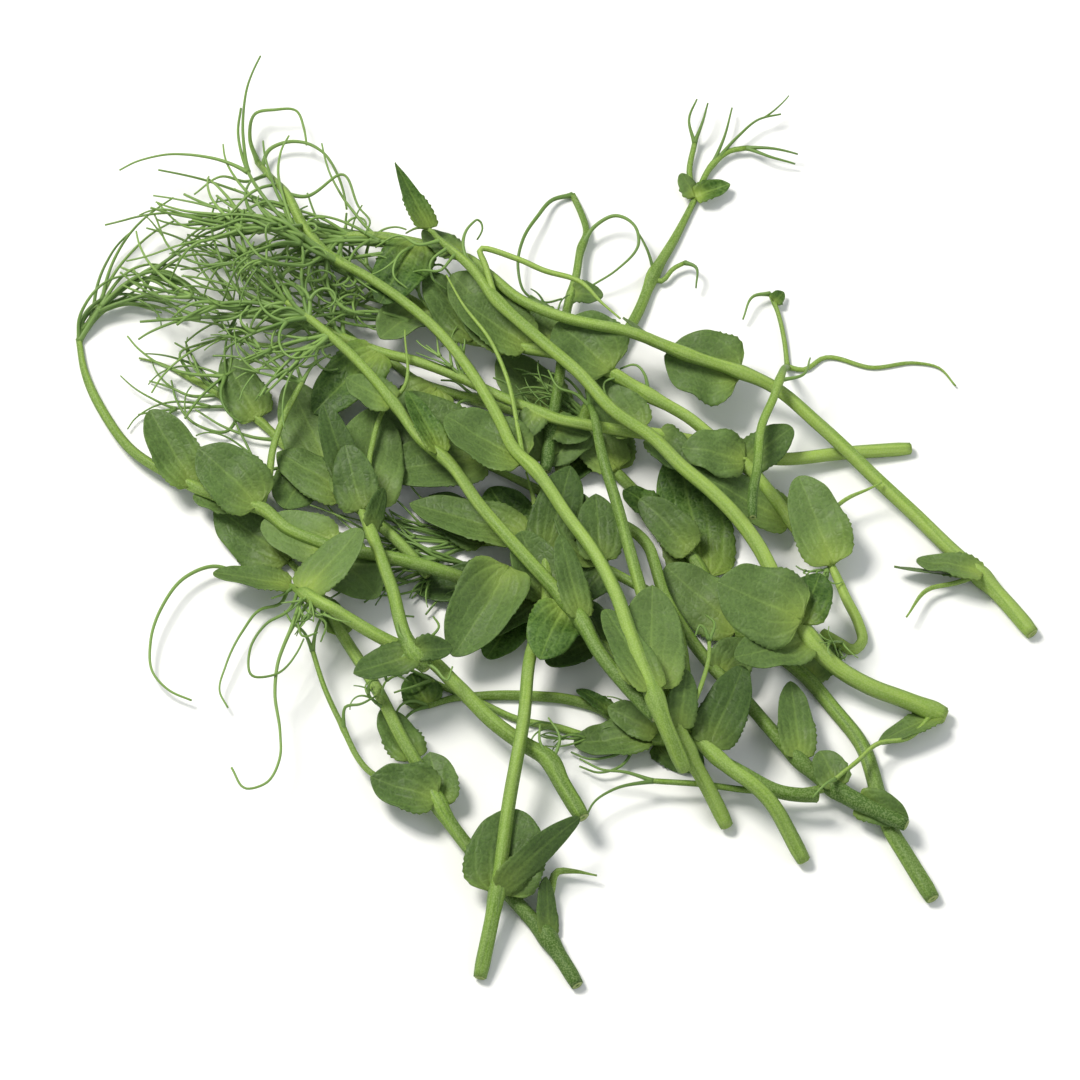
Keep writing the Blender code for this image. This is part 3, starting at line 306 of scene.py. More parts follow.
tendril(0, 1, (36, 81.5), (40.5, 79), (45, 78))
twig(0.5, 0.4, 1, (18.5, 54), (20, 53), (22.5, 55.5), (24.5, 56.5))
tendril(0, 1, (24.5, 56.5), (26.5, 55), (26.5, 51))
tendril(1, 1, (18.5, 55.5), (18, 58), (16, 63))
tendril(1, 1, (6.5, 23.5), (3.5, 26), (0, 28.5), (-2.5, 30))
tendril(0, 1, (6.5, 23.5), (2.5, 24), (-1, 26.5), (-5, 28))
tendril(2, 1, (7, 24), (5, 27.5), (2.5, 30), (0, 31))
tendril(0, 1, (6, 22), (1.5, 22), (-2.5, 24), (-6.5, 29.5))

# shoot_08: beside it, with two big curls.
stem(
    1.1, 0.6, (-1, 10), (0, 18.5), (1.5, 28.5), (3, 45.5), (4.5, 52.5), (5.5, 59.5), (6.5, 63), (5.5, 68),
    (4, 72)
)
leaf(6, 8, 0, (-0.5, 13), (-4, 20))
leaf(6, 8, 0, (0, 18.5), (7, 16.5))
leaf(4.5, 10, 0, (4, 49), (9.5, 48))
tendril(1, 3, (5.5, 60.5), (8, 63.5), (11.5, 65), (15.5, 61.5), (16, 58), (12, 53.5), (7.5, 51), start=0.42)
tendril(
    1, 3, (4, 71.5), (0.5, 70.5), (-2.5, 66), (-5, 61), (-6, 54.5), (-4.5, 49.5), (-1, 48), (2, 49),
    start=0.42
)
print("so far:", len(shoots), "shoots")

# %% Shoots 9 to 12, to the left
# shoot_09: from the far right across to the left, its tendrils spread wide.
stem(
    1.25, 0.85, (65, 17.5), (53, 16), (40.5, 14), (34, 14.5), (25.5, 16.5), (18.5, 17), (8.5, 17.5),
    (1, 19), (-5, 22), (-10, 25), (-17, 29.5), (-24, 33), (-31, 35.5), (-38, 39), (-43.5, 42.5)
)
leaf(5, 5, 0, (-2, 20.5), (-6.5, 14.5))
leaf(7, 5, 0, (18.5, 17), (25, 9.5))
tendril(
    1, 3, (-43.5, 42.5), (-49, 42.5), (-54, 43.5), (-59, 45), (-65.5, 47.5), (-71.5, 50.5), (-78.5, 53.5),
    start=0.42
)
tendril(0, 2, (-43.5, 42.5), (-49, 41), (-54, 40.5), (-60, 41.5), (-69, 43.5))
tendril(3, 3, (-43.5, 42.5), (-47.5, 45), (-52, 46.5), (-56, 50.5), (-58.5, 55))
tendril(1, 2, (-43.5, 42.5), (-47, 39.5), (-52, 36), (-55, 38), (-56.5, 42))
tendril(2, 3, (-43.5, 42.5), (-48, 43.5), (-54, 45.5), (-59, 49), (-64, 54.5))
tendril(0, 1, (-38, 39), (-41.5, 36.5), (-47, 36), (-52, 33.5))

# shoot_10: over it, with a big leaf over the middle.
stem(
    1.2, 0.85, (48.5, -6), (43, 1.5), (40, 5.5), (35, 11), (30, 15), (24.5, 20), (17.5, 24.5), (10.5, 29),
    (3.5, 31.5), (-3, 34), (-8.5, 36), (-16, 38.5), (-21, 44), (-25.5, 48), (-31, 52), (-36, 55)
)
leaf(13, 10, -5, (11, 28.5), (1, 38.5))
leaf(7, 8, 10, (35, 11), (43.5, 18))
leaf(9, 8, -5, (32.5, 9), (23.5, 12.5))
leaf(9, 8, 8, (29.5, -8.5), (23.5, 8.5))
leaf(10, 10, 5, (-4, 33.5), (-17, 44))
tendril(2, 3, (-36, 55), (-40.5, 55), (-45, 56.5), (-48, 60), (-52, 62.5))
tendril(1, 2, (-36, 55), (-40, 52), (-45, 49.5), (-49.5, 50.5), (-53.5, 55.5))
tendril(3, 3, (-36, 55), (-38, 58), (-42, 57.5), (-46.5, 56.5), (-50.5, 53))
tendril(1, 1, (-31, 52), (-36, 50.5), (-39.5, 47.5), (-43.5, 46.5))
tendril(2, 1, (16, 25.5), (13, 27.5), (9.5, 26.5), (10, 24))
tendril(2, 2, (17.5, 24.5), (17, 27.5), (15, 30), (12.5, 30))
tendril(2, 3, (-21, 44), (-24, 47), (-23.5, 50.5), (-20, 53), (-18, 51))

# shoot_11: thin, out to the left, with a small leaf and curls.
stem(
    1.1, 0.5, (-22, -10.5), (-28, -3.5), (-34.5, 3.5), (-42, 10.5), (-49, 19), (-53, 23.5), (-60, 29),
    (-67, 33.5), (-71.5, 36), (-75, 37)
)
leaf(8, 12, -8, (-52, 24.5), (-59, 35))
tendril(1, 2, (-61, 29), (-63.5, 32), (-65.5, 36.5), (-68.5, 39.5))
tendril(2, 2, (-65, 32), (-67.5, 36), (-64, 38.5))
tendril(0, 1, (-60, 28.5), (-65.5, 28.5), (-69.5, 30.5), (-73, 32))
tendril(0, 2, (-56, 26), (-59, 20.5), (-64.5, 22), (-68, 27.5), (-69, 32))
tendril(0, 1, (-49, 19), (-54, 19.5), (-59, 21.5), (-64.5, 25.5))
tendril(1, 2, (-45, 14.5), (-52, 12), (-55.5, 18), (-58, 24))

# shoot_12: arches to the far left and hooks back over.
stem(
    1.25, 0.8, (-13, -12.5), (-22, -10.5), (-32.5, -7.5), (-37.5, -6.5), (-42, -4.5), (-47, -2),
    (-52, 2.5), (-57.5, 4), (-63, 7), (-68.5, 10.5), (-75.5, 16), (-81, 24.5), (-85, 34.5), (-86, 40.5)
)
leaf(11, 12, -8, (-52, 3), (-63.5, 13.5))
leaf(8.5, 14, -5, (-64, 8.5), (-72.5, 22))
leaf(5, 0, 0, (-58.5, -2.5), (-64.5, 6))
twig(0.8, 0.5, 4, (-52, 2.5), (-51, 7.5), (-50, 14.5), (-48, 20.5), (-45, 26.5))
tendril(2, 1, (-45, 26.5), (-43, 30), (-40, 33))
tendril(2, 1, (-45, 26.5), (-46, 30.5), (-45, 34.5))
tendril(1, 2, (-86, 40.5), (-85.5, 44), (-83, 47), (-77.5, 47.5), (-72, 47), (-67.5, 45), start=0.42)
tendril(2, 3, (-86, 40.5), (-85, 45), (-81, 48), (-76, 48.5), (-70.5, 47.5), start=0.42)
tendril(3, 3, (-86, 40.5), (-86, 43.5), (-84, 47), (-80.5, 50), (-75.5, 51.5))
tendril(0, 1, (-85.5, 42), (-82.5, 45.5), (-77, 47.5), (-71, 46))
print("so far:", len(shoots), "shoots")

# %% Shoots 13 to 16, in the middle
# shoot_13: thick, from the front to the left, its tendrils hang in long hooks.
stem(
    1.55, 1.05, (5.5, -61), (2, -54.5), (-0.5, -49.5), (-5, -46.5), (-9.5, -43), (-17, -35), (-22, -30),
    (-28, -27.5), (-35.5, -23.5), (-42, -19.5), (-47, -11.5)
)
leaf(8, 8, 35, (-46.5, -12.5), (-60.5, -11))
tendril(
    0, 3, (-47, -11.5), (-55, -9.5), (-60.5, -8), (-65.5, -10.5), (-69.5, -16.5), (-71.5, -23.5),
    (-71, -29.5), (-68, -33), (-64, -35), start=0.45
)
tendril(
    0, 3, (-47, -11.5), (-48.5, -15.5), (-52, -17), (-55, -21.5), (-58, -28.5), (-59, -33.5),
    (-57.5, -36.5)
)
tendril(
    1, 2, (-45, -15.5), (-47, -22), (-51, -24.5), (-53.5, -29), (-53, -34), (-49, -33.5), (-45, -28.5),
    (-44, -26)
)
tendril(
    0, 2, (-44.5, -17.5), (-46, -24.5), (-48.5, -31), (-49, -36.5), (-48, -44), (-48, -49), (-50.5, -54),
    (-54, -55), (-56.5, -51), start=0.42
)
tendril(1, 1, (-45, -15.5), (-43, -22), (-40, -24), (-41, -26.5))
tendril(1, 1, (-44, -17.5), (-42, -20.5), (-44, -23.5), (-46, -23))
tendril(1, 1, (-43.5, -19), (-45, -24), (-44, -27), (-41.5, -26))
tendril(1, 1, (-46, -13), (-48, -15.5), (-50, -16))
tendril(2, 1, (0, -50), (-2, -47), (-2, -43.5))
tendril(1, 1, (0, -50), (1.5, -46), (-0.5, -41.5))

# shoot_14: long, from the right to the tangle at the back left.
stem(
    1.45, 0.8, (86, -21), (82, -15.5), (77, -9.5), (72, -4.5), (65.5, 2.5), (59, 9), (48.5, 19.5),
    (39.5, 27), (33, 29.5), (27, 31), (16, 34.5), (0.5, 39), (-6, 43), (-11, 48.5), (-15.5, 53),
    (-19.5, 54.5), (-24.5, 57), (-31.5, 59), (-37, 59.5), (-41.5, 58)
)
leaf(6, 10, 20, (78, -9), (65.5, -7))
leaf(4, 0, 50, (77, -10.5), (61.5, -8))
leaf(14, 4, -6, (33.5, 29), (20.5, 33))
leaf(4, 5, 50, (24, 33.5), (13, 39))
twig(0.5, 0.35, 1, (76, -9.5), (72.5, -11), (67.5, -12.5), (63.5, -18.5))
tendril(0, 3, (-41.5, 58), (-46, 58), (-52, 55.5), (-57, 48), (-58, 44.5))
tendril(1, 3, (-37, 59.5), (-43, 59.5), (-47.5, 55.5), (-51, 48), (-50, 43))
tendril(0, 2, (-41.5, 58), (-47.5, 55), (-54, 51.5), (-60.5, 54), (-66.5, 59.5))
tendril(1, 2, (-31.5, 59), (-36, 54.5), (-37, 50), (-34, 46.5))
tendril(1, 2, (-24.5, 57), (-28, 52.5), (-28.5, 48.5), (-26, 46.5))
tendril(1, 3, (-41.5, 58), (-47, 60.5), (-53.5, 61.5), (-58.5, 60.5), (-62.5, 57))
tendril(0, 2, (-41.5, 58), (-45, 55), (-50.5, 53), (-56, 53.5), (-62, 51.5), (-67.5, 52.5))
tendril(2, 3, (-37, 59.5), (-41.5, 62), (-47, 63.5), (-52, 64.5), (-58, 68.5))
tendril(1, 3, (-41.5, 58), (-44, 51), (-48, 44.5), (-47, 40), (-42, 39))
tendril(0, 2, (-37, 59.5), (-40, 56), (-40, 50.5), (-37, 47.5))

# shoot_15: straight back from the front right.
stem(
    1.4, 0.9, (31, -60), (27, -54), (23.5, -49), (21.5, -42.5), (19, -32), (17, -21.5), (14.5, -11),
    (12, -0.5), (9, 11), (7, 22)
)
leaf(5.5, 10, 20, (23, -46.5), (24, -35))
twig(0.5, 0.35, 1, (23.5, -47.5), (25, -41.5), (26.5, -37.5), (28, -31), (28, -28.5))
tendril(1, 1, (28, -28.5), (26.5, -26), (25.5, -28))
tendril(1, 1, (28, -28.5), (29, -25), (27.5, -22))
tendril(1, 1, (7, 22), (4.5, 24), (1.5, 25), (-0.5, 29))
tendril(1, 1, (7, 22), (6.5, 24.5), (4.5, 28))

# shoot_16: short, with narrow leaves, from the middle of the front to the left.
stem(1.3, 0.95, (-22, -33.5), (-24.5, -30.5), (-28.5, -16.5), (-33, -2), (-35.5, 5.5))
leaf(7, 8, 8, (-24.5, -32), (-35, -35.5))
leaf(4.5, 0, 20, (-24, -31), (-17.5, -30))
leaf(8, 14, -15, (-34.5, 0.5), (-37, 13))
leaf(4, 5, 45, (-32, -4), (-30, 4.5))
leaf(6, 20, 0, (-35.5, 5.5), (-41, 21))
twig(0.55, 0.35, 3, (-35.5, 5.5), (-33.5, 8), (-32.5, 14), (-29.5, 23.5), (-27, 26), (-26.5, 38))
tendril(2, 2, (-24.5, -30.5), (-27, -27.5), (-26.5, -23), (-24.5, -21.5))
tendril(2, 2, (-24.5, -30.5), (-21.5, -28), (-20, -25.5), (-21, -21.5))
tendril(1, 1, (-23.5, -32), (-20.5, -34.5), (-18.5, -37), (-17.5, -34))
tendril(1, 2, (-24.5, -30), (-27, -32.5), (-28, -34), (-25.5, -34))
print("so far:", len(shoots), "shoots")

# %% Shoots 17 to 19, bright and thick
# shoot_17: straight back from the front, with two big leaves near its cut end.
stem(
    1.35, 0.95, (-12.5, -90), (-9.5, -75), (-7.5, -59), (-5, -44), (-3.5, -28), (-1, -19), (-1, -8),
    (-2.5, 2), (-4.5, 11)
)
leaf(14, 5, 8, (-9.5, -75.5), (-6, -59.5))
leaf(5.5, 10, 45, (-9, -75.5), (5, -63))
leaf(9, 10, 8, (-0.5, -7), (3.5, 10))

# shoot_18: thick and long, right across, to a pointed leaf at the back.
stem(
    1.6, 0.9, (70, -38), (63, -35.5), (56.5, -33.5), (49.5, -29.5), (44.5, -23.5), (40.5, -15),
    (37, -7.5), (34, -3), (29, 2.5), (23.5, 7.5), (18.5, 13), (11, 18.5), (5.5, 25.5), (-2, 33.5),
    (-10.5, 43), (-15, 50), (-20, 55), (-24.5, 59.5), (-26.5, 61.5)
)
leaf(14.5, 14, -10, (49, -20.5), (29.5, -17.5))
leaf(9, -5, -10, (46, -26), (32.5, -31.5))
leaf(6, 10, 25, (-26, 53.5), (-28.5, 70.5))
leaf(6, 5, 30, (69, -38.5), (58, -44))
twig(
    0.6, 0.45, 0, (-10.5, 43), (-12, 49.5), (-13, 52.5), (-6, 50.5), (-1.5, 48), (5.5, 45), (9, 40.5),
    (12.5, 36.5)
)
tendril(2, 2, (-15, 50), (-16, 54), (-15, 58), (-13, 60.5), (-12.5, 59), (-13.5, 57.5))
twig(0.5, 0.4, 0, (68, -39), (63, -43.5), (58, -45), (54, -49.5), (50, -53.5))
tendril(0, 1, (50, -53.5), (48, -56), (46, -58))
tendril(1, 2, (-20, 55), (-24, 53.5), (-28, 56.5), (-32, 56.5))
tendril(1, 2, (-19, 54), (-22, 50), (-21.5, 48), (-18.5, 47))
tendril(2, 3, (-17, 52), (-20.5, 48), (-23.5, 49.5), (-25.5, 50.5))

# shoot_19: bright, from the middle of the front to the tangle.
stem(
    1.45, 0.8, (18.5, -45), (13, -37.5), (8.5, -30.5), (5, -23), (1.5, -18), (-5, -9.5), (-12.5, 0.5),
    (-20, 11.5), (-22.5, 13.5), (-28, 21.5), (-35, 30.5), (-40.5, 36), (-44, 39), (-48, 42)
)
leaf(9.5, 2, -5, (2.5, -19.5), (-2, -31.5))
leaf(5.5, 10, 15, (4.5, -24), (1.5, -7.5))
leaf(5, 5, 20, (-20, 11.5), (-26, 24.5))
leaf(7, 8, 10, (-28.5, 22), (-37, 27))
tendril(2, 3, (-48, 42), (-52, 44), (-55, 48), (-54, 53.5))
tendril(0, 2, (-44, 39), (-47.5, 40.5), (-52, 39), (-56.5, 36))
tendril(3, 3, (-48, 42), (-51, 46.5), (-51.5, 51), (-49, 55.5))
tendril(1, 2, (-48, 42), (-54, 45), (-60.5, 45.5), (-67, 50.5))
tendril(0, 2, (-48, 42), (-53.5, 43), (-56.5, 40), (-60.5, 40), (-64, 44))
tendril(2, 3, (-48, 42), (-50.5, 46), (-56, 48.5), (-62.5, 49), (-68.5, 53), (-72.5, 63))
tendril(1, 2, (-44, 39), (-49, 38), (-50.5, 34), (-47.5, 31))
tendril(0, 2, (-48, 42), (-52, 41), (-54.5, 37.5), (-53, 34))
print("so far:", len(shoots), "shoots")

# %% Shoots 20 to 22, on top
# shoot_20: bright, over all the others, to two loops at the back left.
stem(
    1.45, 0.7, (23.5, -54), (20, -48), (17, -39), (14, -29), (11.5, -20), (7.5, -10.5), (3, -3),
    (-2.5, 6.5), (-7, 12), (-9, 17), (-15, 29), (-20.5, 37), (-27, 43.5), (-33.5, 48.5), (-40.5, 53),
    (-45, 58.5), (-48.5, 66.5), (-54, 79)
)
leaf(7, -12, 12, (16.5, -42.5), (9.5, -23))
leaf(12, -14, 6, (18, -40.5), (18, -17.5))
leaf(12.5, 5, 14, (-6, 8.5), (-19, 18))
twig(0.45, 0.32, 1, (-5, 10), (-6, 16), (-8, 26.5), (-11, 34), (-16, 41.5), (-19, 47.5))
tendril(
    2, 4, (-54, 79), (-55.5, 83), (-54.5, 87.5), (-51, 88), (-47, 88), (-45.5, 84.5), (-45, 81.5),
    start=0.42
)
tendril(
    0, 3, (-53, 77), (-52, 80.5), (-48.5, 82), (-45, 81.5), (-42, 79.5), (-39.5, 75.5), (-38, 71),
    (-37.5, 68), start=0.42
)
tendril(0, 2, (-48.5, 66.5), (-45, 65.5), (-38, 70), (-35, 63), (-33, 60), (-34, 57.5))
tendril(0, 2, (-52, 74), (-56, 72), (-60.5, 73), (-65.5, 70))
tendril(0, 2, (-49.5, 69.5), (-55, 65), (-59, 61), (-65, 59.5))
tendril(1, 3, (-45, 58.5), (-50, 53.5), (-56, 57), (-61, 56.5), (-66, 58), (-72, 66))
tendril(1, 2, (-45, 58.5), (-50.5, 62), (-57, 65.5), (-62.5, 66))
tendril(2, 3, (-40.5, 53), (-46, 52.5), (-52, 48.5), (-57.5, 47), (-56.5, 44))
tendril(1, 2, (-47, 62), (-52, 63.5), (-56.5, 61), (-60.5, 57), (-65.5, 56.5))
tendril(2, 3, (-40.5, 53), (-45, 47.5), (-52, 46.5), (-56, 52.5), (-59, 64.5))

# shoot_21: thin, lying on top on the right, with a long bent tendril.
stem(0.9, 0.7, (36, -3.5), (36, 0.5), (37, 7.5), (38, 17), (40.5, 23.5), (43, 35))
twig(0.45, 0.4, 1, (43, 35), (42.5, 40.5), (41, 47.5), (40, 50))
leaf(2.5, 0, 30, (40.5, 48), (42.5, 50.5))
tendril(0, 1, (40, 50), (37, 49), (35, 44.5))
twig(0.45, 0.32, 0, (43, 35), (46, 34.5), (49.5, 37), (58.5, 35), (66.5, 36), (70.5, 35), (73.5, 31))
tendril(0, 1, (41.5, 25.5), (45.5, 28), (47, 33.5))

# shoot_22: a short hooked piece with one leaf, on the right.
stem(
    1.05, 0.85, (48.5, -20.7), (51.5, -23), (54, -24.5), (55.5, -23), (55, -19.5), (53, -15), (50.5, -9),
    (48.5, -5)
)
leaf(10, 12, -8, (48.5, -9), (44.5, 8.5))
twig(0.45, 0.35, 1, (48.5, -5), (49.5, 1), (53, 4.5), (57.5, 6.5), (59.5, 7.5))

print("the plan:", len(shoots), "shoots,", sum(len(s["leaves"]) for shoot in shoots for s in shoot), "leaves")

# %% [markdown]
# ## What the solids leave out
#
# The heap has more leaves than the solids have room for, and fine tendrils that are too
# many and too thin for solids. They are written down here with the number of the shoot that
# they grow on. A pea tendril is a leaf that lost its blades: side arms leave a main rib in
# pairs. So a group of them is a rule and not a drawing, with a seeded random generator for
# the direction, length and bend of each.

# %% Words for the young leaves and the fine tendrils
PAIRS = (0.3, 0.6)  # where side arms leave a main rib, as parts of its length
STEPS = 8  # points of a tendril's route
WANDER = 0.05  # how far its heading strays at each point, either way, in radians
ARM_CHANCE = 0.72  # how often a place for a side arm has one
ARM_THICK = 0.75  # a side arm's radius, as part of its rib's
young = {}


def of_shoot(number):
    return young.setdefault(number, {"leaves": [], "arms": []})


def young_leaf(number, wide, pitch, roll, base, tip):
    """A leaf that only the finished heap has, on a shoot's stem or stalk."""
    of_shoot(number)["leaves"].append((wide, pitch, roll, base, tip))


def arm(number, chance, start, heading, length, turn, thick):
    """One fine tendril that bends more and more by turn. Gives back its route and headings."""
    route = [start]
    headings = [heading]
    for k in range(STEPS):
        heading += turn * (0.5 + (k + 1) / STEPS) / STEPS + chance.uniform(-WANDER, WANDER)
        step = length / STEPS
        route.append((route[-1][0] + step * math.cos(heading), route[-1][1] + step * math.sin(heading)))
        headings.append(heading)
    of_shoot(number)["arms"].append(
        {"kind": "tendril", "thick": (thick, thick * TAPER), "rise": chance.uniform(0, 1.5),
         "loft": chance.uniform(0, 1.5), "route": route, "leaves": []}
    )
    return route, headings


def fan(number, root, way, opening, count, length, turn, thick, sweep=0.0):
    """Main ribs from one point, with side arms in pairs. way and opening are in degrees."""
    chance = np.random.default_rng(1000 * number + len(of_shoot(number)["arms"]))
    for n in range(count):
        spread_to = (n + chance.uniform(0.2, 0.8)) / count - 0.5
        heading = math.radians(way + spread_to * opening)
        reach = length * chance.uniform(0.7, 1.1)
        bend = sweep + turn * chance.uniform(-1, 1)
        route, headings = arm(number, chance, root, heading, reach, bend, thick)
        for place in PAIRS:
            k = round(place * STEPS)
            for hand in (-1, 1):
                if chance.uniform(0, 1) < ARM_CHANCE:
                    aside = headings[k] + hand * chance.uniform(0.2, 0.6)
                    left = reach * (1.15 - place) * chance.uniform(0.6, 1.2)
                    bend = sweep / 2 + turn * chance.choice((-1, 1)) * chance.uniform(0.2, 1.2)
                    arm(number, chance, route[k], aside, left, bend, thick * ARM_THICK)


# %% The young leaves and the fine tendrils, by shoot
young_leaf(1, 8, 0, 5, (18, -42), (4, -43.5))
young_leaf(1, 6, 5, -20, (19, -42.5), (10, -37.5))
fan(1, (9, -42), 185, 60, 2, 14, 1.2, 0.32)
fan(1, (17, -41.5), 150, 70, 2, 11, 1.5, 0.3)
young_leaf(1, 7, 4, 0, (-22, -36.5), (-25, -29))
young_leaf(2, 7, 4, 10, (-24.5, -48.5), (-30, -38))
young_leaf(2, 5, 0, 20, (-37.5, -21.5), (-40.5, -13))
fan(2, (-29, -38.5), 150, 90, 2, 9, 2.2, 0.3)
young_leaf(3, 13, 4, -6, (27.5, -9.5), (22.5, 17.5))
young_leaf(3, 9, 0, 10, (12, 12.5), (2.5, 25))
young_leaf(3, 7, 6, -20, (25.5, -5), (16, 5.5))
young_leaf(3, 11, 3, 6, (1, 22.5), (-9, 37.5))
young_leaf(3, 9, 0, -10, (11, 13), (9, 28.5))
young_leaf(3, 7, 0, 0, (45.5, -30), (51, -22.5))
fan(3, (6, 19), 170, 60, 2, 15, 1.0, 0.32)
young_leaf(3, 11, 2, -6, (-20, 31.5), (-30, 17))
young_leaf(4, 8, 4, 10, (30, -31), (35, -24))
young_leaf(4, 13, 4, -8, (-11.5, 14), (-31, 26))
young_leaf(4, 12, 2, 4, (-11.5, 14), (-30.5, 11.5))
young_leaf(5, 9, 2, 0, (9, -9.5), (1.5, 7))
young_leaf(5, 9, 0, 8, (-4.5, -3), (-25.5, 5))
young_leaf(5, 8, 4, -10, (6, -8), (-1, 0))
fan(5, (-12.5, -2), 178, 42, 4, 24, 0.6, 0.36)
fan(5, (-12.5, -2), 165, 50, 3, 18, 0.7, 0.32)
young_leaf(5, 10, 0, 0, (-4.5, -3), (-11, 9))
young_leaf(5, 8, 2, 8, (9, -9.5), (8, 4))
young_leaf(6, 9, 6, 0, (-3.5, -14), (-11.5, -27))
young_leaf(6, 8, 0, 15, (-2, -15), (-13, -23))
young_leaf(6, 9, 4, 10, (-0.5, -16), (-5.5, -3.5))
fan(6, (-15.5, -6.5), 182, 40, 4, 24, 0.6, 0.36)
fan(6, (-15.5, -6.5), 190, 60, 2, 16, 1.0, 0.32)
young_leaf(6, 12, 0, 0, (-9, -12), (-17.5, -28.5))
fan(7, (6, 22.5), 150, 80, 3, 13, 1.2, 0.32)
young_leaf(8, 9, 4, 0, (2, 36), (-9, 45.5))
fan(8, (2.5, 40), 150, 90, 2, 11, 1.8, 0.32)
young_leaf(9, 9, 2, -6, (15.5, 17), (7, 29.5))
fan(9, (-16, 29), 120, 90, 3, 9, 0.8, 0.32)
fan(9, (-40, 40.5), 176, 56, 3, 32, 1.2, 0.5)
fan(9, (-38, 39), 130, 140, 3, 14, 3.2, 0.44)
young_leaf(9, 10, -4, 0, (-31, 35.5), (-43, 23.5))
young_leaf(10, 11, 5, -6, (-6, 35), (-18, 50.5))
young_leaf(10, 9, 5, 10, (-13.5, 37.5), (-22.5, 51.5))
fan(10, (-19, 41.5), 163, 44, 3, 36, 1.0, 0.5)
fan(10, (-31, 52), 200, 150, 3, 15, 3.2, 0.44)
young_leaf(10, 9, 0, 8, (-25, 45.5), (-31, 38))
young_leaf(11, 12, 2, 0, (-38.5, 7), (-47.5, 30.5))
young_leaf(11, 9, 2, 6, (-37, 5.5), (-49.5, 15))
fan(11, (-57, 26.5), 150, 90, 3, 18, 1.4, 0.34)
young_leaf(11, 13, 3, 5, (-34, 3.5), (-32, 24))
young_leaf(11, 9, -4, 0, (-45, 11.5), (-48, 3))
young_leaf(12, 10, 0, 0, (-39, -6), (-52, 0))
fan(12, (-45, 26.5), 160, 70, 3, 18, 1.0, 0.34)
fan(12, (-86, 40), 74, 16, 4, 29, 0.2, 0.48, sweep=-1.9)
young_leaf(12, 10, 0, 0, (-39, -6), (-31, -16))
fan(13, (-43, -18.5), 250, 110, 3, 10, 2.6, 0.3)
young_leaf(13, 9, 0, 5, (-41, -15), (-34, -6.5))
young_leaf(14, 6, 8, 20, (-17, 53.5), (-23.5, 58.5))
fan(14, (-32, 59), 168, 40, 3, 38, 1.0, 0.5)
fan(14, (-38, 59), 215, 120, 3, 16, 3.2, 0.44)
fan(14, (-22.5, 56), 174, 44, 3, 34, 1.1, 0.48)
young_leaf(14, 10, -4, 0, (-24, 56), (-31, 44))
young_leaf(18, 8, 6, 0, (47.5, -22), (48, -13))
fan(19, (-45, 39.5), 161, 50, 4, 32, 1.1, 0.5)
fan(19, (-44, 39), 130, 160, 4, 15, 3.2, 0.44)
fan(19, (-40, 35.5), 215, 60, 3, 18, 1.2, 0.42)
fan(20, (-38.5, 51.5), 162, 38, 4, 40, 1.0, 0.5)
fan(20, (-40.5, 53), 205, 150, 4, 16, 3.2, 0.44)
fan(20, (-45, 59), 178, 36, 2, 27, 0.8, 0.46)
fan(22, (49.5, -9), 240, 100, 3, 8, 2.5, 0.26)
fan(22, (52, -23.5), 255, 100, 2, 7, 2.5, 0.26)

young_leaves = sum(len(fine["leaves"]) for fine in young.values())
fine_arms = sum(len(fine["arms"]) for fine in young.values())
print("besides:", young_leaves, "young leaves and", fine_arms, "fine tendrils")

# %% [markdown]
# ## Laying the shoots
#
# A heap is made one shoot after another, as by hand. A grid remembers how high the heap is
# so far. A new stem lies over whatever is under it, with a little air between, and sags
# between those supports like a string pulled over pegs. A leaf tips until it clears what
# lies below. This is much quicker than a physics simulation, and it gives the same heap
# each time.

# %% The height of the heap
GAP = 0.45  # air kept between two shoots, in mm
FLOOR_SINK = 0.84  # how far up the centre of a stem on the table is, as part of its radius
STEP = 1.0  # distance between the points that are laid, in mm
CELL = 0.5  # a cell of the grid that remembers how high the heap is, in mm
SPAN = 260.0  # side of that grid, in mm
MARGIN = 0.36  # half a cell's diagonal in mm, so that no shoot slips between cells
UNDER_ALL = -100.0  # lower than any need, where a cell is out of reach


class Heap:
    """How high the heap is, cell by cell."""

    def __init__(self):
        self.half = int(SPAN / CELL) // 2
        self.top = np.full((2 * self.half, 2 * self.half), -GAP)

    def around(self, xy, radius, flat):
        """The cells under each point, and how far a ball, or a flat disc, stands out over them."""
        reach = radius + MARGIN
        home = np.floor(xy / CELL).astype(int)
        wide = int(math.ceil(np.max(reach) / CELL)) + 1
        for i in range(-wide, wide + 1):
            for j in range(-wide, wide + 1):
                cell = home + (i, j)
                off = np.hypot(*((cell + 0.5) * CELL - xy).T)
                ball = np.minimum(np.sqrt(np.maximum(reach**2 - off**2, 0)), radius)
                cell = cell + self.half
                yield cell[:, 0], cell[:, 1], np.where(off < reach, radius if flat else ball, UNDER_ALL)

    def clear(self, xy, radius, flat=False):
        """The height at which each point clears the heap."""
        need = np.full(len(xy), UNDER_ALL)
        for i, j, out in self.around(xy, radius, flat):
            need = np.maximum(need, self.top[i, j] + out)
        return need + GAP

    def add(self, xyz, radius, flat=False):
        for i, j, out in self.around(xyz[:, :2], radius, flat):
            np.maximum.at(self.top, (i, j), xyz[:, 2] + out)


# %% A strand's line over its supports
PASSES = 3  # rounds of smoothing and lifting
LIFT_REACH = 4  # how many neighbours rise with a point that is lifted
FINE_POINTS = 13  # points on the curve from one point of a route to the next


def curved(u, a, b, leave_a, reach_b, gap):
    """A smooth step from a to b at u, with the slopes at both ends."""
    return (
        (2 * u**3 - 3 * u**2 + 1) * a
        + (u**3 - 2 * u**2 + u) * gap * leave_a
        + (3 * u**2 - 2 * u**3) * b
        + (u**3 - u**2) * gap * reach_b
    )


def eased(x):
    """From 0 to 1 with a soft start and end."""
    return x * x * (3 - 2 * x)


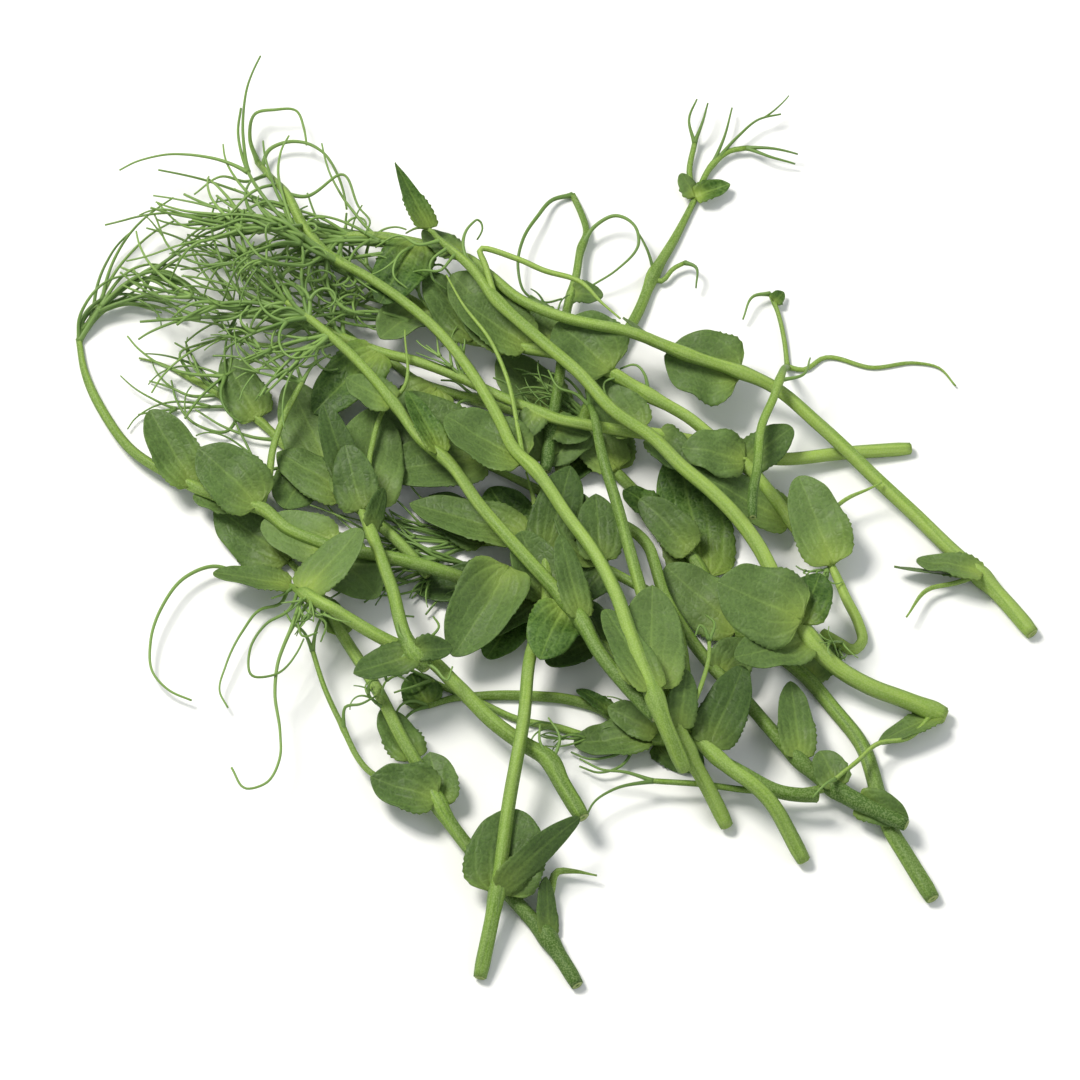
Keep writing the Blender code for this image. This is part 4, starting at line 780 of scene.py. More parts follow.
def spread(route):
    """A smooth curve through the route, as points STEP apart, and the distance along it."""
    p = np.array(route, float)
    gap = np.hypot(*np.diff(p, axis=0).T)
    way = np.diff(p, axis=0) / gap[:, None]
    near = (gap[:-1] / (gap[:-1] + gap[1:]))[:, None]
    turn = np.concatenate([way[:1], way[:-1] * (1 - near) + way[1:] * near, way[-1:]])
    u = np.linspace(0, 1, FINE_POINTS)[:, None]
    curve = [curved(u, p[i], p[i + 1], turn[i], turn[i + 1], gap[i]) for i in range(len(gap))]
    curve = np.concatenate([c[:-1] for c in curve] + [p[-1:]])
    far = np.concatenate([[0], np.cumsum(np.hypot(*np.diff(curve, axis=0).T))])
    s = np.linspace(0, far[-1], max(3, int(round(far[-1] / STEP)) + 1))
    return np.column_stack([np.interp(s, far, c) for c in curve.T]), s


def drape(s, need, sag, start):
    """The lowest line over need that bends upward no faster than sag, like a stem over its supports."""
    low = need - 0.5 * sag * s**2
    if start is not None:
        low[0] = start
    held = [0]
    for i in range(1, len(s)):
        while len(held) > 1:
            a, b = held[-2:]
            if (low[b] - low[a]) * (s[i] - s[b]) > (low[i] - low[b]) * (s[b] - s[a]):
                break
            held.pop()
        held.append(i)
    return np.interp(s, s[held], low[held]) + 0.5 * sag * s**2


def soften(z, need, rounds, start):
    """Rounds the line's corners and lifts it where that took it too low. A given start stays."""
    first = 0 if start is None else 1
    for _ in range(PASSES):
        for _ in range(rounds):
            z[1:-1] = 0.25 * z[:-2] + 0.5 * z[1:-1] + 0.25 * z[2:]
        short = np.maximum(need - z, 0)
        short[:first] = 0
        lift = short.copy()
        for k in range(1, LIFT_REACH + 1):
            lift[k:] = np.maximum(lift[k:], short[:-k])
            lift[:-k] = np.maximum(lift[:-k], short[k:])
        lift[:first] = 0
        z = z + lift
    return z


# %% A leaf that tips until it is clear
BLADE = 0.65  # the solid leaf's thickness, in mm
FOLD = 0.08  # how far the edges rise, as part of the width
DROOP = 0.05  # how far the tip hangs, as part of the length
LOBE = 0.25  # how far the base sweeps back round the stem, as part of the length
# Read together: places along the blade, the outline's half width there and how far its edges
# wave there, as parts of its length and width.
ALONG = (0, 0.13, 0.35, 0.62, 0.85, 1.0)
HALF = (0.13, 0.70, 1.0, 0.93, 0.62, 0.12)
RIPPLE = (0, 0.03, -0.02, 0.03, -0.02, 0)
# The slopes that a leaf may add to its wished ones, along and across, and what a roll, a lift
# of its root and a dip into the heap cost beside a pitch.
PITCHES = np.linspace(-1.0, 1.2, 23)
ROLLS = np.linspace(-1.0, 1.0, 21)
ROLL_COST = 0.7
LIFT_COST = 0.06
TOO_LOW_COST = 100.0
LEAF_ROOM = 0.6  # half the distance between the places that are tried on a blade, in mm


class Leaf:
    """A blade that grows from a point of a strand and tips until it clears the heap."""

    def __init__(self, wide, pitch, roll, root, tip):
        way = np.array(tip, float) - root
        self.root = root
        self.length = float(np.hypot(*way))
        self.along = way / self.length
        self.across = np.array([-self.along[1], self.along[0]])
        self.wide = wide * math.cos(math.radians(roll))
        self.tilt = math.tan(math.radians(pitch)), math.tan(math.radians(roll))

    def flat(self, t, w):
        """The blade before it is tipped: along, across and up, at t of its length and w of its half width."""
        v = w * np.interp(t, ALONG, HALF) * self.wide / 2
        side = np.abs(v) / (self.wide / 2)
        u = self.length * (t - LOBE * (1 - t) ** 2 * side**2)
        wave = np.interp(t, ALONG, RIPPLE) * np.where(w < 0, -1, 1)
        return u, v, (FOLD + wave) * self.wide * side - DROOP * self.length * t**2

    def place(self, u, v):
        """Where that much along and across is, seen from above."""
        return self.root + u[..., None] * self.along + v[..., None] * self.across

    def sheet(self, t, w):
        """The blade's middle surface where it lies."""
        u, v, h = self.flat(*np.meshgrid(t, w, indexing="ij"))
        z = self.z + h + self.pitch * u + self.roll * v
        return np.concatenate([self.place(u, v), z[..., None]], axis=-1)

    def ways(self, heap):
        """Each way to tip the blade, the height its root then needs and how far it is from the wish."""
        u, v, h = self.flat(*np.meshgrid(np.linspace(0, 1, 15), np.linspace(-1, 1, 10), indexing="ij"))
        room = np.full(u.size, LEAF_ROOM)
        need = heap.clear(self.place(u, v).reshape(-1, 2), room, flat=True) - LEAF_ROOM
        a, b = np.meshgrid(self.tilt[0] + PITCHES, self.tilt[1] + ROLLS, indexing="ij")
        tipped = need - h.ravel() - a[..., None] * u.ravel() - b[..., None] * v.ravel()
        lift = np.max(tipped, axis=-1) + 0.5 * BLADE * np.sqrt(1 + a**2 + b**2)
        cost = (a - self.tilt[0]) ** 2 + ROLL_COST * (b - self.tilt[1]) ** 2
        return a.ravel(), b.ravel(), lift.ravel(), cost.ravel()

    def needs(self, heap, stem_needs):
        """The height of its root that suits the blade best."""
        _, _, lift, cost = self.ways(heap)
        return lift[np.argmin(cost + LIFT_COST * np.maximum(lift - stem_needs, 0))]

    def settle(self, heap, z):
        """Tips the blade as little as its root's height allows."""
        a, b, lift, cost = self.ways(heap)
        best = np.argmin(cost + TOO_LOW_COST * np.maximum(lift - z, 0))
        self.z, self.pitch, self.roll = z, a[best], b[best]

    def add_to(self, heap):
        t = np.linspace(0, 1, int(self.length / CELL) + 2)
        w = np.linspace(-1, 1, int(self.wide / CELL) + 2)
        points = self.sheet(t, w).reshape(-1, 3)
        half = 0.5 * BLADE * math.sqrt(1 + self.pitch**2 + self.roll**2)
        heap.add(points, np.full(len(points), half), flat=True)


# %% A strand, and the whole heap
# Stiffness by kind: the steepest climb where it grows out, how fast it sags between two
# supports (1/mm) and how many rounds of smoothing its bends get.
STIFF = {"stem": (0.5, 1 / 400, 8), "twig": (0.7, 1 / 250, 3), "tendril": (1.2, 1 / 60, 3)}
TIP_HANG = 6.0  # how far above its support a tip may stay level with its root, in mm


class Strand:
    """A stem, twig or tendril, with what grows from it."""

    def __init__(self, plan, parent, heap):
        route = [np.array(p, float) for p in plan["route"]]
        self.kind = plan["kind"]
        if parent is not None:
            self.root = parent.nearest(route[0])
            route[0] = parent.xy[self.root]
        self.xy, self.s = spread(route)
        self.radius = np.linspace(*plan["thick"], len(self.s))
        self.rise, self.loft = plan["rise"], plan["loft"]
        self.twigs = []
        self.leaves = []
        for wide, pitch, roll, base, tip in plan["leaves"]:
            at = self.nearest(base)
            self.leaves.append((at, Leaf(wide, pitch, roll, self.xy[at], tip)))
        need = heap.clear(self.xy, self.radius)
        self.need = np.where(need < self.radius + 1e-6, FLOOR_SINK * self.radius, need)

    def off(self, point):
        return np.hypot(*(self.xy - np.array(point, float)).T)

    def nearest(self, point):
        return int(np.argmin(self.off(point)))

    def needs(self, heap):
        """What the strand and all that grows from it need of the height of its root."""
        for at, blade in self.leaves:
            self.need[at] = max(self.need[at], blade.needs(heap, self.need[at]))
        for child in self.twigs:
            self.need[child.root] = max(self.need[child.root], child.needs(heap))
        return float(np.max(self.need - STIFF[self.kind][0] * self.s))

    def settle(self, heap, start=None):
        """Lays the strand over what it needs, from its root's height if it grows from another strand."""
        need = self.need.copy()
        if start is not None:
            need[-1] = max(need[-1], min(start, need[-1] + TIP_HANG) + self.rise)
        _, sag, rounds = STIFF[self.kind]
        self.z = soften(drape(self.s, need, sag, start), need, rounds, start)
        self.z += self.loft * np.sin(np.pi * self.s / self.s[-1])
        for at, blade in self.leaves:
            blade.settle(heap, self.z[at])
        for child in self.twigs:
            child.settle(heap, self.z[child.root])

    def add_to(self, heap):
        s = np.linspace(0, self.s[-1], 2 * len(self.s))
        points = np.column_stack([np.interp(s, self.s, c) for c in (*self.xy.T, self.z)])
        heap.add(points, np.interp(s, self.s, self.radius))
        for _, blade in self.leaves:
            blade.add_to(heap)


def lay(plans, fine, heap):
    """Lays one shoot on the heap. Each strand grows from the nearest one before it."""
    strands = []
    for plan in plans:
        parent = min(strands, key=lambda s: float(np.min(s.off(plan["route"][0]))), default=None)
        strands.append(Strand(plan, parent, heap))
        if parent is not None:
            parent.twigs.append(strands[-1])
    strands[0].needs(heap)
    strands[0].settle(heap)
    young_ones = sprout(strands, fine, heap)
    for strand in strands:
        strand.add_to(heap)
    return strands, *young_ones


def sprout(strands, fine, heap):
    """Settles a shoot's young leaves and fine tendrils. They give way, so nothing rests on them."""
    thick = [strand for strand in strands if strand.kind != "tendril"]
    blades = []
    for wide, pitch, roll, base, tip in fine["leaves"]:
        parent = min(thick, key=lambda s: float(np.min(s.off(base))))
        at = parent.nearest(base)
        blade = Leaf(wide, pitch, roll, parent.xy[at], tip)
        blade.settle(heap, parent.z[at])
        blades.append((parent, at, blade))
    arms = []
    for plan in fine["arms"]:
        parent = min(thick + arms, key=lambda s: float(np.min(s.off(plan["route"][0]))))
        arms.append(Strand(plan, parent, heap))
        arms[-1].settle(heap, parent.z[arms[-1].root])
    return blades, arms


heap = Heap()
laid = [lay(plans, of_shoot(number), heap) for number, plans in enumerate(shoots, 1)]
print("the heap is", round(float(heap.top.max()), 1), "mm high")

# %% [markdown]
# ## Lines and outlines
#
# A stem is an outline that is carried along a line. Blender's curves do just that: the line
# is a poly spline, its bevel object is the outline, and each point has its own radius and
# its own tilt. A poly spline has straight pieces, so a tendril's bent line first gets more
# points, on a smooth curve through the ones that were laid. Stems and stalks keep the
# points that were laid, 1 mm apart.

# %% A finer line
def finer(line, per):
    """The same line with that many points for each one, on a smooth curve through them."""
    before = np.concatenate([2 * line[:1] - line[1:2], line[:-2]])
    after = np.concatenate([line[2:], 2 * line[-1:] - line[-2:-1]])
    u = (np.arange(per) / per)[None, :, None]
    a, b, c, d = (p[:, None, :] for p in (before, line[:-1], line[1:], after))
    curve = 0.5 * (2 * b + (c - a) * u + (2 * a - 5 * b + 4 * c - d) * u**2 + (3 * (b - c) + d - a) * u**3)
    return np.concatenate([curve.reshape(-1, line.shape[1]), line[-1:]])


def along(line):
    """How far each point of a line is from its start, in mm."""
    return np.concatenate([[0], np.cumsum(np.linalg.norm(np.diff(line, axis=0), axis=1))])


# %% [markdown]
# A pea stem isn't round. Low ribs run along it, and light catches on them as pale lines. The
# outline starts as a circle. Its points are moved in and out by a wave and the ring is made
# a curve. Stalks get the same outline with fewer ribs. Tendrils are so thin that six
# corners do.

# %% The outlines of stems, stalks and tendrils
OUTLINES = {
    # kind: (corners, ribs, depth of the ribs as part of the radius)
    "stem": (24, 5, 0.03),
    "twig": (12, 3, 0.03),
    "tendril": (6, 0, 0.0),
}


def outline(kind):
    """The ring that a strand carries along, with a radius of 1."""
    corners, ribs, depth = OUTLINES[kind]
    bpy.ops.object.select_all(action="DESELECT")
    bpy.ops.mesh.primitive_circle_add(vertices=corners, radius=1)
    ring = bpy.context.object
    ring.name = kind + "_outline"
    for vertex in ring.data.vertices:
        vertex.co *= 1 + depth * math.cos(ribs * math.atan2(vertex.co.y, vertex.co.x))
    bpy.ops.object.convert(target="CURVE")
    return bpy.context.object


outlines = {kind: outline(kind) for kind in OUTLINES}
print("outlines:", {kind: len(ring.data.splines[0].points) for kind, ring in outlines.items()})

# %% [markdown]
# ## Carrying an outline along
#
# One curve object holds all the lines of a shoot that share an outline. It is converted to a
# mesh, and its open ends are filled. The mesh has its points ring after ring, so each point
# can be told where it is: round the stem, and how far along. The streaks of the skin read
# this, and so they follow every bend.

# %% Sweeping
def note(mesh, name, values):
    """Keeps a number or a place for each point of a mesh, for its material."""
    values = np.asarray(values, np.float32)
    kind = "FLOAT_VECTOR" if values.ndim == 2 else "FLOAT"
    mesh.attributes.new(name, kind, "POINT").data.foreach_set(
        "vector" if values.ndim == 2 else "value", values.ravel()
    )


def new_object(name, data):
    """An object that holds the data, in the scene."""
    made = bpy.data.objects.new(name, data)
    bpy.context.scene.collection.objects.link(made)
    return made


def sweep(name, kind, runs):
    """One closed mesh from runs of (line, radii, turns, tone), all with the outline of a kind.

    A tone is one number, or one for each point of the line."""
    curve = bpy.data.curves.new(name, "CURVE")
    curve.dimensions = "3D"
    curve.twist_mode = "Z_UP"
    curve.bevel_mode = "OBJECT"
    curve.bevel_object = outlines[kind]
    for line, radii, turns, _ in runs:
        path = curve.splines.new("POLY")
        path.points.add(len(line) - 1)
        path.points.foreach_set("co", np.column_stack([line * MM, np.ones(len(line))]).ravel())
        path.points.foreach_set("radius", radii * MM)
        path.points.foreach_set("tilt", turns)
    made = new_object(name, curve)
    bpy.ops.object.select_all(action="DESELECT")
    made.select_set(True)
    bpy.context.view_layer.objects.active = made
    bpy.ops.object.convert(target="MESH")

    ring = outlines[kind].data.splines[0].points
    angle = np.array([math.atan2(p.co.y, p.co.x) for p in ring])
    grain = []
    tones = []
    for line, radii, _, tone in runs:
        far = np.repeat(along(line), len(ring))
        wide = np.repeat(np.maximum(radii, 0.3), len(ring))
        round_it = np.tile(angle, len(line))
        grain.append(np.column_stack([wide * np.cos(round_it), wide * np.sin(round_it), far]))
        tones.append(np.repeat(tone + np.zeros(len(line)), len(ring)))
    note(made.data, "grain", np.concatenate(grain))
    note(made.data, "tone", np.concatenate(tones))

    bpy.ops.object.mode_set(mode="EDIT")
    bpy.ops.mesh.select_all(action="SELECT")
    bpy.ops.mesh.fill_holes(sides=0)
    bpy.ops.mesh.select_all(action="SELECT")
    bpy.ops.mesh.normals_make_consistent(inside=False)
    bpy.ops.object.mode_set(mode="OBJECT")
    bpy.ops.object.shade_smooth()
    return made


# %% [markdown]
# ## The stems' thickness
#
# A stem is thicker at each node, where leaves and stalks leave it, and a stalk flares where
# it leaves the stem. At a cut end it is pinched a little. Towards its tip it thins out to
# the tendrils or the midrib that carry on from there. All of this is only a list of radii,
# one for each point of the line.

# %% The thickness of a stem or stalk
NODE_SWELL = 0.2  # how much thicker a stem is at a node, as part of its radius
NODE_REACH = 2.1  # how far the swelling reaches, as multiples of the radius
PINCH = 0.14  # how much thinner a cut end is
PINCH_REACH = 1.4  # mm
FLARE = 0.3  # how much thicker a stalk is where it starts
FLARE_REACH = 2.5  # as multiples of the radius
THIN_OVER = 14.0  # the length over which a tip thins out, in mm
TIP_RADIUS = 0.58  # of a tip that something grows from, in mm
BARE_TIP = 0.18  # of a tip that nothing grows from, in mm
FOOT = 0.5  # how much thicker a tendril is where it starts
FOOT_REACH = 1.2  # mm
SLIMMING = 0.35  # how much thinner a tendril gets towards its tip, besides its taper
PRESSED = 0.92  # the least height of a centre over the table, as part of the radius
TWIST = 0.02  # how far the ribs turn round the stem in one mm, in radians


def swollen(strand, far, radii, thin_over):
    """A strand's radii with its nodes, its flared or pinched start and its thinned tip."""
    r = float(np.mean(radii))
    out = radii.copy()
    for at in {at for at, _ in strand.leaves} | {child.root for child in strand.twigs}:
        if r < strand.s[at] < strand.s[-1] - 2 * r:
            out += NODE_SWELL * radii * np.exp(-(((far - strand.s[at]) / (NODE_REACH * r)) ** 2))
    if strand.kind == "stem":
        out *= 1 - PINCH * np.exp(-((far / PINCH_REACH) ** 2))
    else:
        out *= 1 + FLARE * np.exp(-far / (FLARE_REACH * r))
    left = np.clip((far[-1] - far) / min(thin_over, 0.4 * far[-1]), 0, 1)
    thin = eased(left)
    grown = [at for at, _ in strand.leaves] + [child.root for child in strand.twigs]
    tip = TIP_RADIUS if grown and max(grown) > len(strand.s) - 4 else BARE_TIP
    return out * thin + np.minimum(tip, out) * (1 - thin)


def run_of(strand, per, turn, tone, thin_over=THIN_OVER):
    """A strand's line, radii and slow turn for the sweep."""
    line = finer(np.column_stack([strand.xy, strand.z]), per)
    far = along(line)
    radii = np.interp(np.linspace(0, 1, len(line)), np.linspace(0, 1, len(strand.radius)), strand.radius)
    if strand.kind == "tendril":
        radii = radii * (1 + FOOT * np.exp(-far / FOOT_REACH)) * (1 - SLIMMING * far / far[-1])
    else:
        radii = swollen(strand, far, radii, thin_over)
    line[:, 2] = np.maximum(line[:, 2], PRESSED * radii)
    return line, radii, turn + TWIST * far, tone


# %% [markdown]
# ## The cut face
#
# Each shoot was cut off, so its stem ends in a face. It is a little paler than the skin,
# slightly hollow and darker in the middle, where the stem is nearly empty. It is modelled
# once, from a short cylinder: the top face is inset and moved three times. Each stem then
# gets its own copy at its own size.

# %% A cut face, made once
CUT_STEPS = ((0.14, 0.16), (0.30, -0.02), (0.22, -0.14))  # how far in and how far out, in radii

bpy.ops.object.select_all(action="DESELECT")
bpy.ops.mesh.primitive_cylinder_add(vertices=24, radius=0.88, depth=0.8, location=(0, 0, -0.38))
cut_face = bpy.context.object
cut_face.name = "cut_face"
bpy.ops.object.transform_apply(location=True, rotation=False, scale=False)
bpy.ops.object.mode_set(mode="EDIT")
bpy.ops.mesh.select_mode(type="FACE")
bpy.ops.mesh.select_all(action="DESELECT")
edited = bmesh.from_edit_mesh(cut_face.data)
for face in edited.faces:
    face.select_set(face.normal.z > 0.9)
bmesh.update_edit_mesh(cut_face.data)
for inward, outward in CUT_STEPS:
    bpy.ops.mesh.inset(thickness=inward, depth=outward)
bpy.ops.mesh.poke()
bpy.ops.object.mode_set(mode="OBJECT")
bpy.ops.object.shade_smooth()
note(cut_face.data, "grain", [tuple(v.co) for v in cut_face.data.vertices])
note(cut_face.data, "cut", [1.0 if v.co.z > 0.1 else 0.0 for v in cut_face.data.vertices])
print("the cut face:", len(cut_face.data.vertices), "points")


def cut_end(run, name):
    """A copy of the cut face on the start of a run."""
    line, radii, _, tone = run
    out = Vector(line[0] - line[2])
    mesh = cut_face.data.copy()
    turned = out.to_track_quat("Z", "Y").to_matrix().to_4x4()
    turned.translation = Vector(line[0]) * MM
    mesh.transform(turned @ Matrix.Scale(float(radii[0]) * MM, 4))
    note(mesh, "tone", np.full(len(mesh.vertices), tone[0]))
    return new_object(name, mesh)


# %% [markdown]
# ## The leaf blade
#
# The leaves differ in size and lie, but not in kind, so two flat blanks are made once, a
# fine one and a coarser one for small leaves, and fitted to each place. A blank is a grid,
# two by two units, with the leaf's stalk end at the bottom and its tip at the top. Its
# middle column is pushed down to make the groove over the midrib, and Solidify gives it a
# thickness. Its height is in mm from the start, because a big leaf isn't thicker than a
# small one.

# %% Leaf blanks, made once
LEAF_THICK = 0.3  # mm
GROOVE = 0.1  # how deep the groove over the midrib is, in mm
BLANKS = {"large": (56, 24), "small": (32, 12)}  # rows and columns
SMALL = 12.0  # up to this length a leaf gets the small blank, in mm


def leaf_blank(name, rows, columns):
    """A flat leaf with its groove and thickness."""
    bpy.ops.object.select_all(action="DESELECT")
    bpy.ops.mesh.primitive_grid_add(x_subdivisions=columns, y_subdivisions=rows, size=2)
    made = bpy.context.object
    made.name = name + "_leaf_blank"
    bpy.ops.object.mode_set(mode="EDIT")
    bpy.ops.mesh.select_mode(type="VERT")
    bpy.ops.mesh.select_all(action="DESELECT")
    edited = bmesh.from_edit_mesh(made.data)
    for vertex in edited.verts:
        vertex.select_set(abs(vertex.co.x) < 0.01)
    bmesh.update_edit_mesh(made.data)
    bpy.ops.transform.translate(value=(0, 0, -GROOVE))
    bpy.ops.object.mode_set(mode="OBJECT")
    thick = made.modifiers.new("thickness", "SOLIDIFY")
    thick.thickness = LEAF_THICK
    thick.offset = 0
    bpy.ops.object.modifier_apply(modifier=thick.name)
    bpy.ops.object.shade_smooth()
    return made


blanks = {name: leaf_blank(name, *size) for name, size in BLANKS.items()}
print("leaf blanks:", {name: len(made.data.polygons) for name, made in blanks.items()}, "faces")

# %% [markdown]
# ## The form of a blade
#
# The plan's blade is a few flat faces. Here its outline runs on a smooth curve, with round
# shoulders, a round or slightly pointed tip and small teeth, and the blade is cupped, bent
# and waved a little, each one differently. Near its base it has to pass its own stem, either
# over or under it. The shorter way is taken, except for a few named leaves: the photo shows
# them pass the other way, or their edge would come through the stem.

# %% The form of a blade
# Read together: places along the blade and the fine outline's half width there.
FINE_ALONG = (0, 0.05, 0.13, 0.24, 0.38, 0.62, 0.85, 1.0)
FINE_HALF = (0.10, 0.50, 0.78, 0.95, 1.0, 0.92, 0.60, 0.12)
FINE_LOBE = 0.17  # how far the base sweeps back round the stem, as part of the length
TIP_FROM = 0.85  # where the rounded tip starts
EDGE_WAVE = 0.04  # how high the edge waves, as part of the width
WAVES = 2.3  # how many waves there are along an edge
CUP = (-0.10, 0.16)  # how far the edges bend down or up, as part of the width
NOD = (-0.06, 0.05)  # how far the middle sinks or rises, as part of the length
FAN_OUT = 0.9  # how far the veins spread towards the edge by the tip
PUCKER = 0.14  # how high the blade stands between its veins, in mm
STEM_AIR = 0.1  # what is kept between a blade and its own stem, in mm
LEAST_LIFT = 0.3  # the least height of a base that passes over its stem, in mm
EASE = 4.0  # the length over which a blade comes back to its lie after its stem, in mm
PASSES_OVER = {(14, 0), (18, 0), (22, 0)}  # shoot and leaf, counted from 0
PASSES_UNDER = {(12, 2), (14, 3), (18, 1), (20, 1)}
POINTED = {(18, 2)}


def smooth(t, at, values):
    """A smooth curve through some values."""
    at, values = np.array(at, float), np.array(values, float)
    slope = np.gradient(values, at)
    k = np.clip(np.searchsorted(at, t, side="right") - 1, 0, len(at) - 2)
    gap = at[k + 1] - at[k]
    return curved((t - at[k]) / gap, values[k], values[k + 1], slope[k], slope[k + 1], gap)


class Blade:
    """A leaf of the plan with its fine outline, cup, wave and way past its stem."""

    def __init__(self, leaf, strand, name, chance):
        self.leaf = leaf
        self.pointed = name in POINTED
        self.over = True if name in PASSES_OVER else False if name in PASSES_UNDER else None
        self.point = chance.uniform(0.42, 0.75)
        self.phase = chance.uniform(0, 2 * math.pi, 2)
        self.wave = EDGE_WAVE * chance.uniform(0.5, 1.3)
        self.cup = chance.uniform(*CUP)
        self.nod = chance.uniform(*NOD)
        self.bow = chance.uniform(-0.05, 0.05)
        self.shift, self.until = LEAST_LIFT, 1.0
        self.pass_stem(strand)

    def pass_stem(self, strand):
        """Finds how far the blade's base goes up or down to clear its own stem, and up to where."""
        leaf = self.leaf
        u, v = (strand.xy - leaf.root) @ leaf.along, (strand.xy - leaf.root) @ leaf.across
        t = np.clip(u / leaf.length, 0, 1)
        half = self.half(t) * leaf.wide / 2
        near = (u > 1.0) & (u < leaf.length) & (np.abs(v) < half + strand.radius)
        if not near.any():
            return
        w = np.clip(v / half, -1, 1)[near]
        above = strand.z[near] - self.at(t[near], w)[0][:, 2] + self.shift
        r = strand.radius[near]
        up = float(np.max(above + r)) + STEM_AIR
        down = float(np.max(0.5 * r - above)) + STEM_AIR
        over = up < down if self.over is None else self.over
        need = above + r + STEM_AIR if over else 0.5 * r - above + STEM_AIR
        self.shift = max(up, LEAST_LIFT) if over else -max(down, 0)
        self.until = float(np.max(u[near][need > 0])) if (need > 0).any() else 1.0

    def half(self, t):
        """Half the width at t, as part of the widest."""
        left = np.maximum((1 - t) / (1 - TIP_FROM), 0)
        tip = smooth(np.array(TIP_FROM), FINE_ALONG, FINE_HALF) * left**self.point
        half = np.where(t < TIP_FROM, smooth(t, FINE_ALONG, FINE_HALF), tip)
        return np.maximum(half * (1.1 - 0.85 * t) if self.pointed else half, 0.02)

    def at(self, t, w):
        """Where t and w are in the heap, with how far along and across the blade that is."""
        leaf = self.leaf
        side = np.abs(w) * self.half(t)
        u = leaf.length * (t - FINE_LOBE * (1 - t) ** 2 * side**2)
        v = np.sign(w) * side * leaf.wide / 2 + self.bow * leaf.length * t * (1 - t)
        right = w > 0
        wave = smooth(t, ALONG, RIPPLE) * np.where(right, 1, -1)
        wave = wave + self.wave * side * np.sin(2 * math.pi * WAVES * t + self.phase[right.astype(int)])
        fold = FOLD * np.sqrt(side**2 + 0.01) + self.cup * (side**2 - 0.25)
        h = (fold + wave * side) * leaf.wide - DROOP * leaf.length * t**2
        h = h + 4 * self.nod * leaf.length * t * (1 - t) * t
        h = h + PUCKER * np.sin(math.pi * 3.5 * w / (1 + FAN_OUT * t)) ** 2 * (1 - t) * side
        left = np.clip((u - self.until) / EASE, 0, 1)
        lift = self.shift * (1 - eased(left))
        z = leaf.z + lift + h + leaf.pitch * u + leaf.roll * v
        return np.concatenate([leaf.place(u, v), z[..., None]], axis=-1), u, v

    def normal(self, t, w):
        """The way that the blade faces at t and w."""
        step = 0.004
        high, wide = np.minimum(t + step, 1), np.minimum(w + step, 1)
        ahead = self.at(high, w)[0] - self.at(high - 2 * step, w)[0]
        aside = self.at(t, wide)[0] - self.at(t, wide - 2 * step)[0]
        normal = np.cross(aside, ahead)
        return normal / np.maximum(np.linalg.norm(normal, axis=-1), 1e-9)[..., None]

    def heights(self):
        """How high the blade is, cell by cell, as seen from above."""
        t, w = np.meshgrid(np.linspace(0, 1, 46), np.linspace(-1, 1, 46))
        found = {}
        for x, y, z in self.at(t.ravel(), w.ravel())[0]:
            found.setdefault((round(x / CELL), round(y / CELL)), []).append(z)
        return {cell: sum(z) / len(z) for cell, z in found.items()}


# %% [markdown]
# Two leaves of one shoot often grow from the same node and lie on each other. Each one is
# compared with those before it, cell by cell, and moved up or down by the least that keeps
# them from cutting through each other. Where no such move is found, it stays.

# %% Leaves that keep clear of each other
CLEAR = 0.2  # what is kept between two leaves, in mm
TOUCHING = 6  # so many cells that two leaves share count as touching
DOWN_COST = 1.6  # how much worse a mm down is than a mm up, because other stems lie below


def keep_apart(blades):
    """Moves blades up or down until they are clear of each other, the named ones one way only."""
    done = []
    for blade in sorted(blades, key=lambda blade: {False: 0, None: 1, True: 2}[blade.over]):
        here = blade.heights()
        gaps = []
        for other in done:
            apart = [here[cell] - other[cell] for cell in here.keys() & other.keys()]
            if len(apart) >= TOUCHING:
                gaps.append((min(apart), max(apart)))
        moves = [0] + [CLEAR - low for low, _ in gaps] + [-CLEAR - high for _, high in gaps]
        clear = [
            move for move in moves
            if all(low + move > 0.99 * CLEAR or high + move < -0.99 * CLEAR for low, high in gaps)
            and (move >= 0 or min(here.values()) + move > CLEAR)
            and (blade.over is None or move == 0 or (move > 0) == blade.over)
        ]
        move = min(clear, key=lambda move: max(move, -DOWN_COST * move), default=0)
        blade.leaf.z += move
        done.append({cell: z + move for cell, z in here.items()})


# %% [markdown]
# ## Fitting a leaf
#
# Every point of the blank knows its place on the blade, t from base to tip and w from edge
# to edge, and the blade says where that is in the heap. The thickness goes along the blade's
# normal, which keeps the two faces apart. Four notes go with each point for its finish: the
# line of its vein, how near it is to the base, its tone, and whether it is on the underside.

# %% Fitting a blank to its place
TOOTH_PITCH = 1.25  # mm
TOOTH_DEPTH = 0.36  # mm
TOOTHED = 0.5  # the part of the edge that has teeth, from the base
EDGE_THINNING = 0.45  # how much thinner the edge of a blade is than its middle
GLOW_REACH = 0.27  # how far the base's yellow reaches, as part of the length


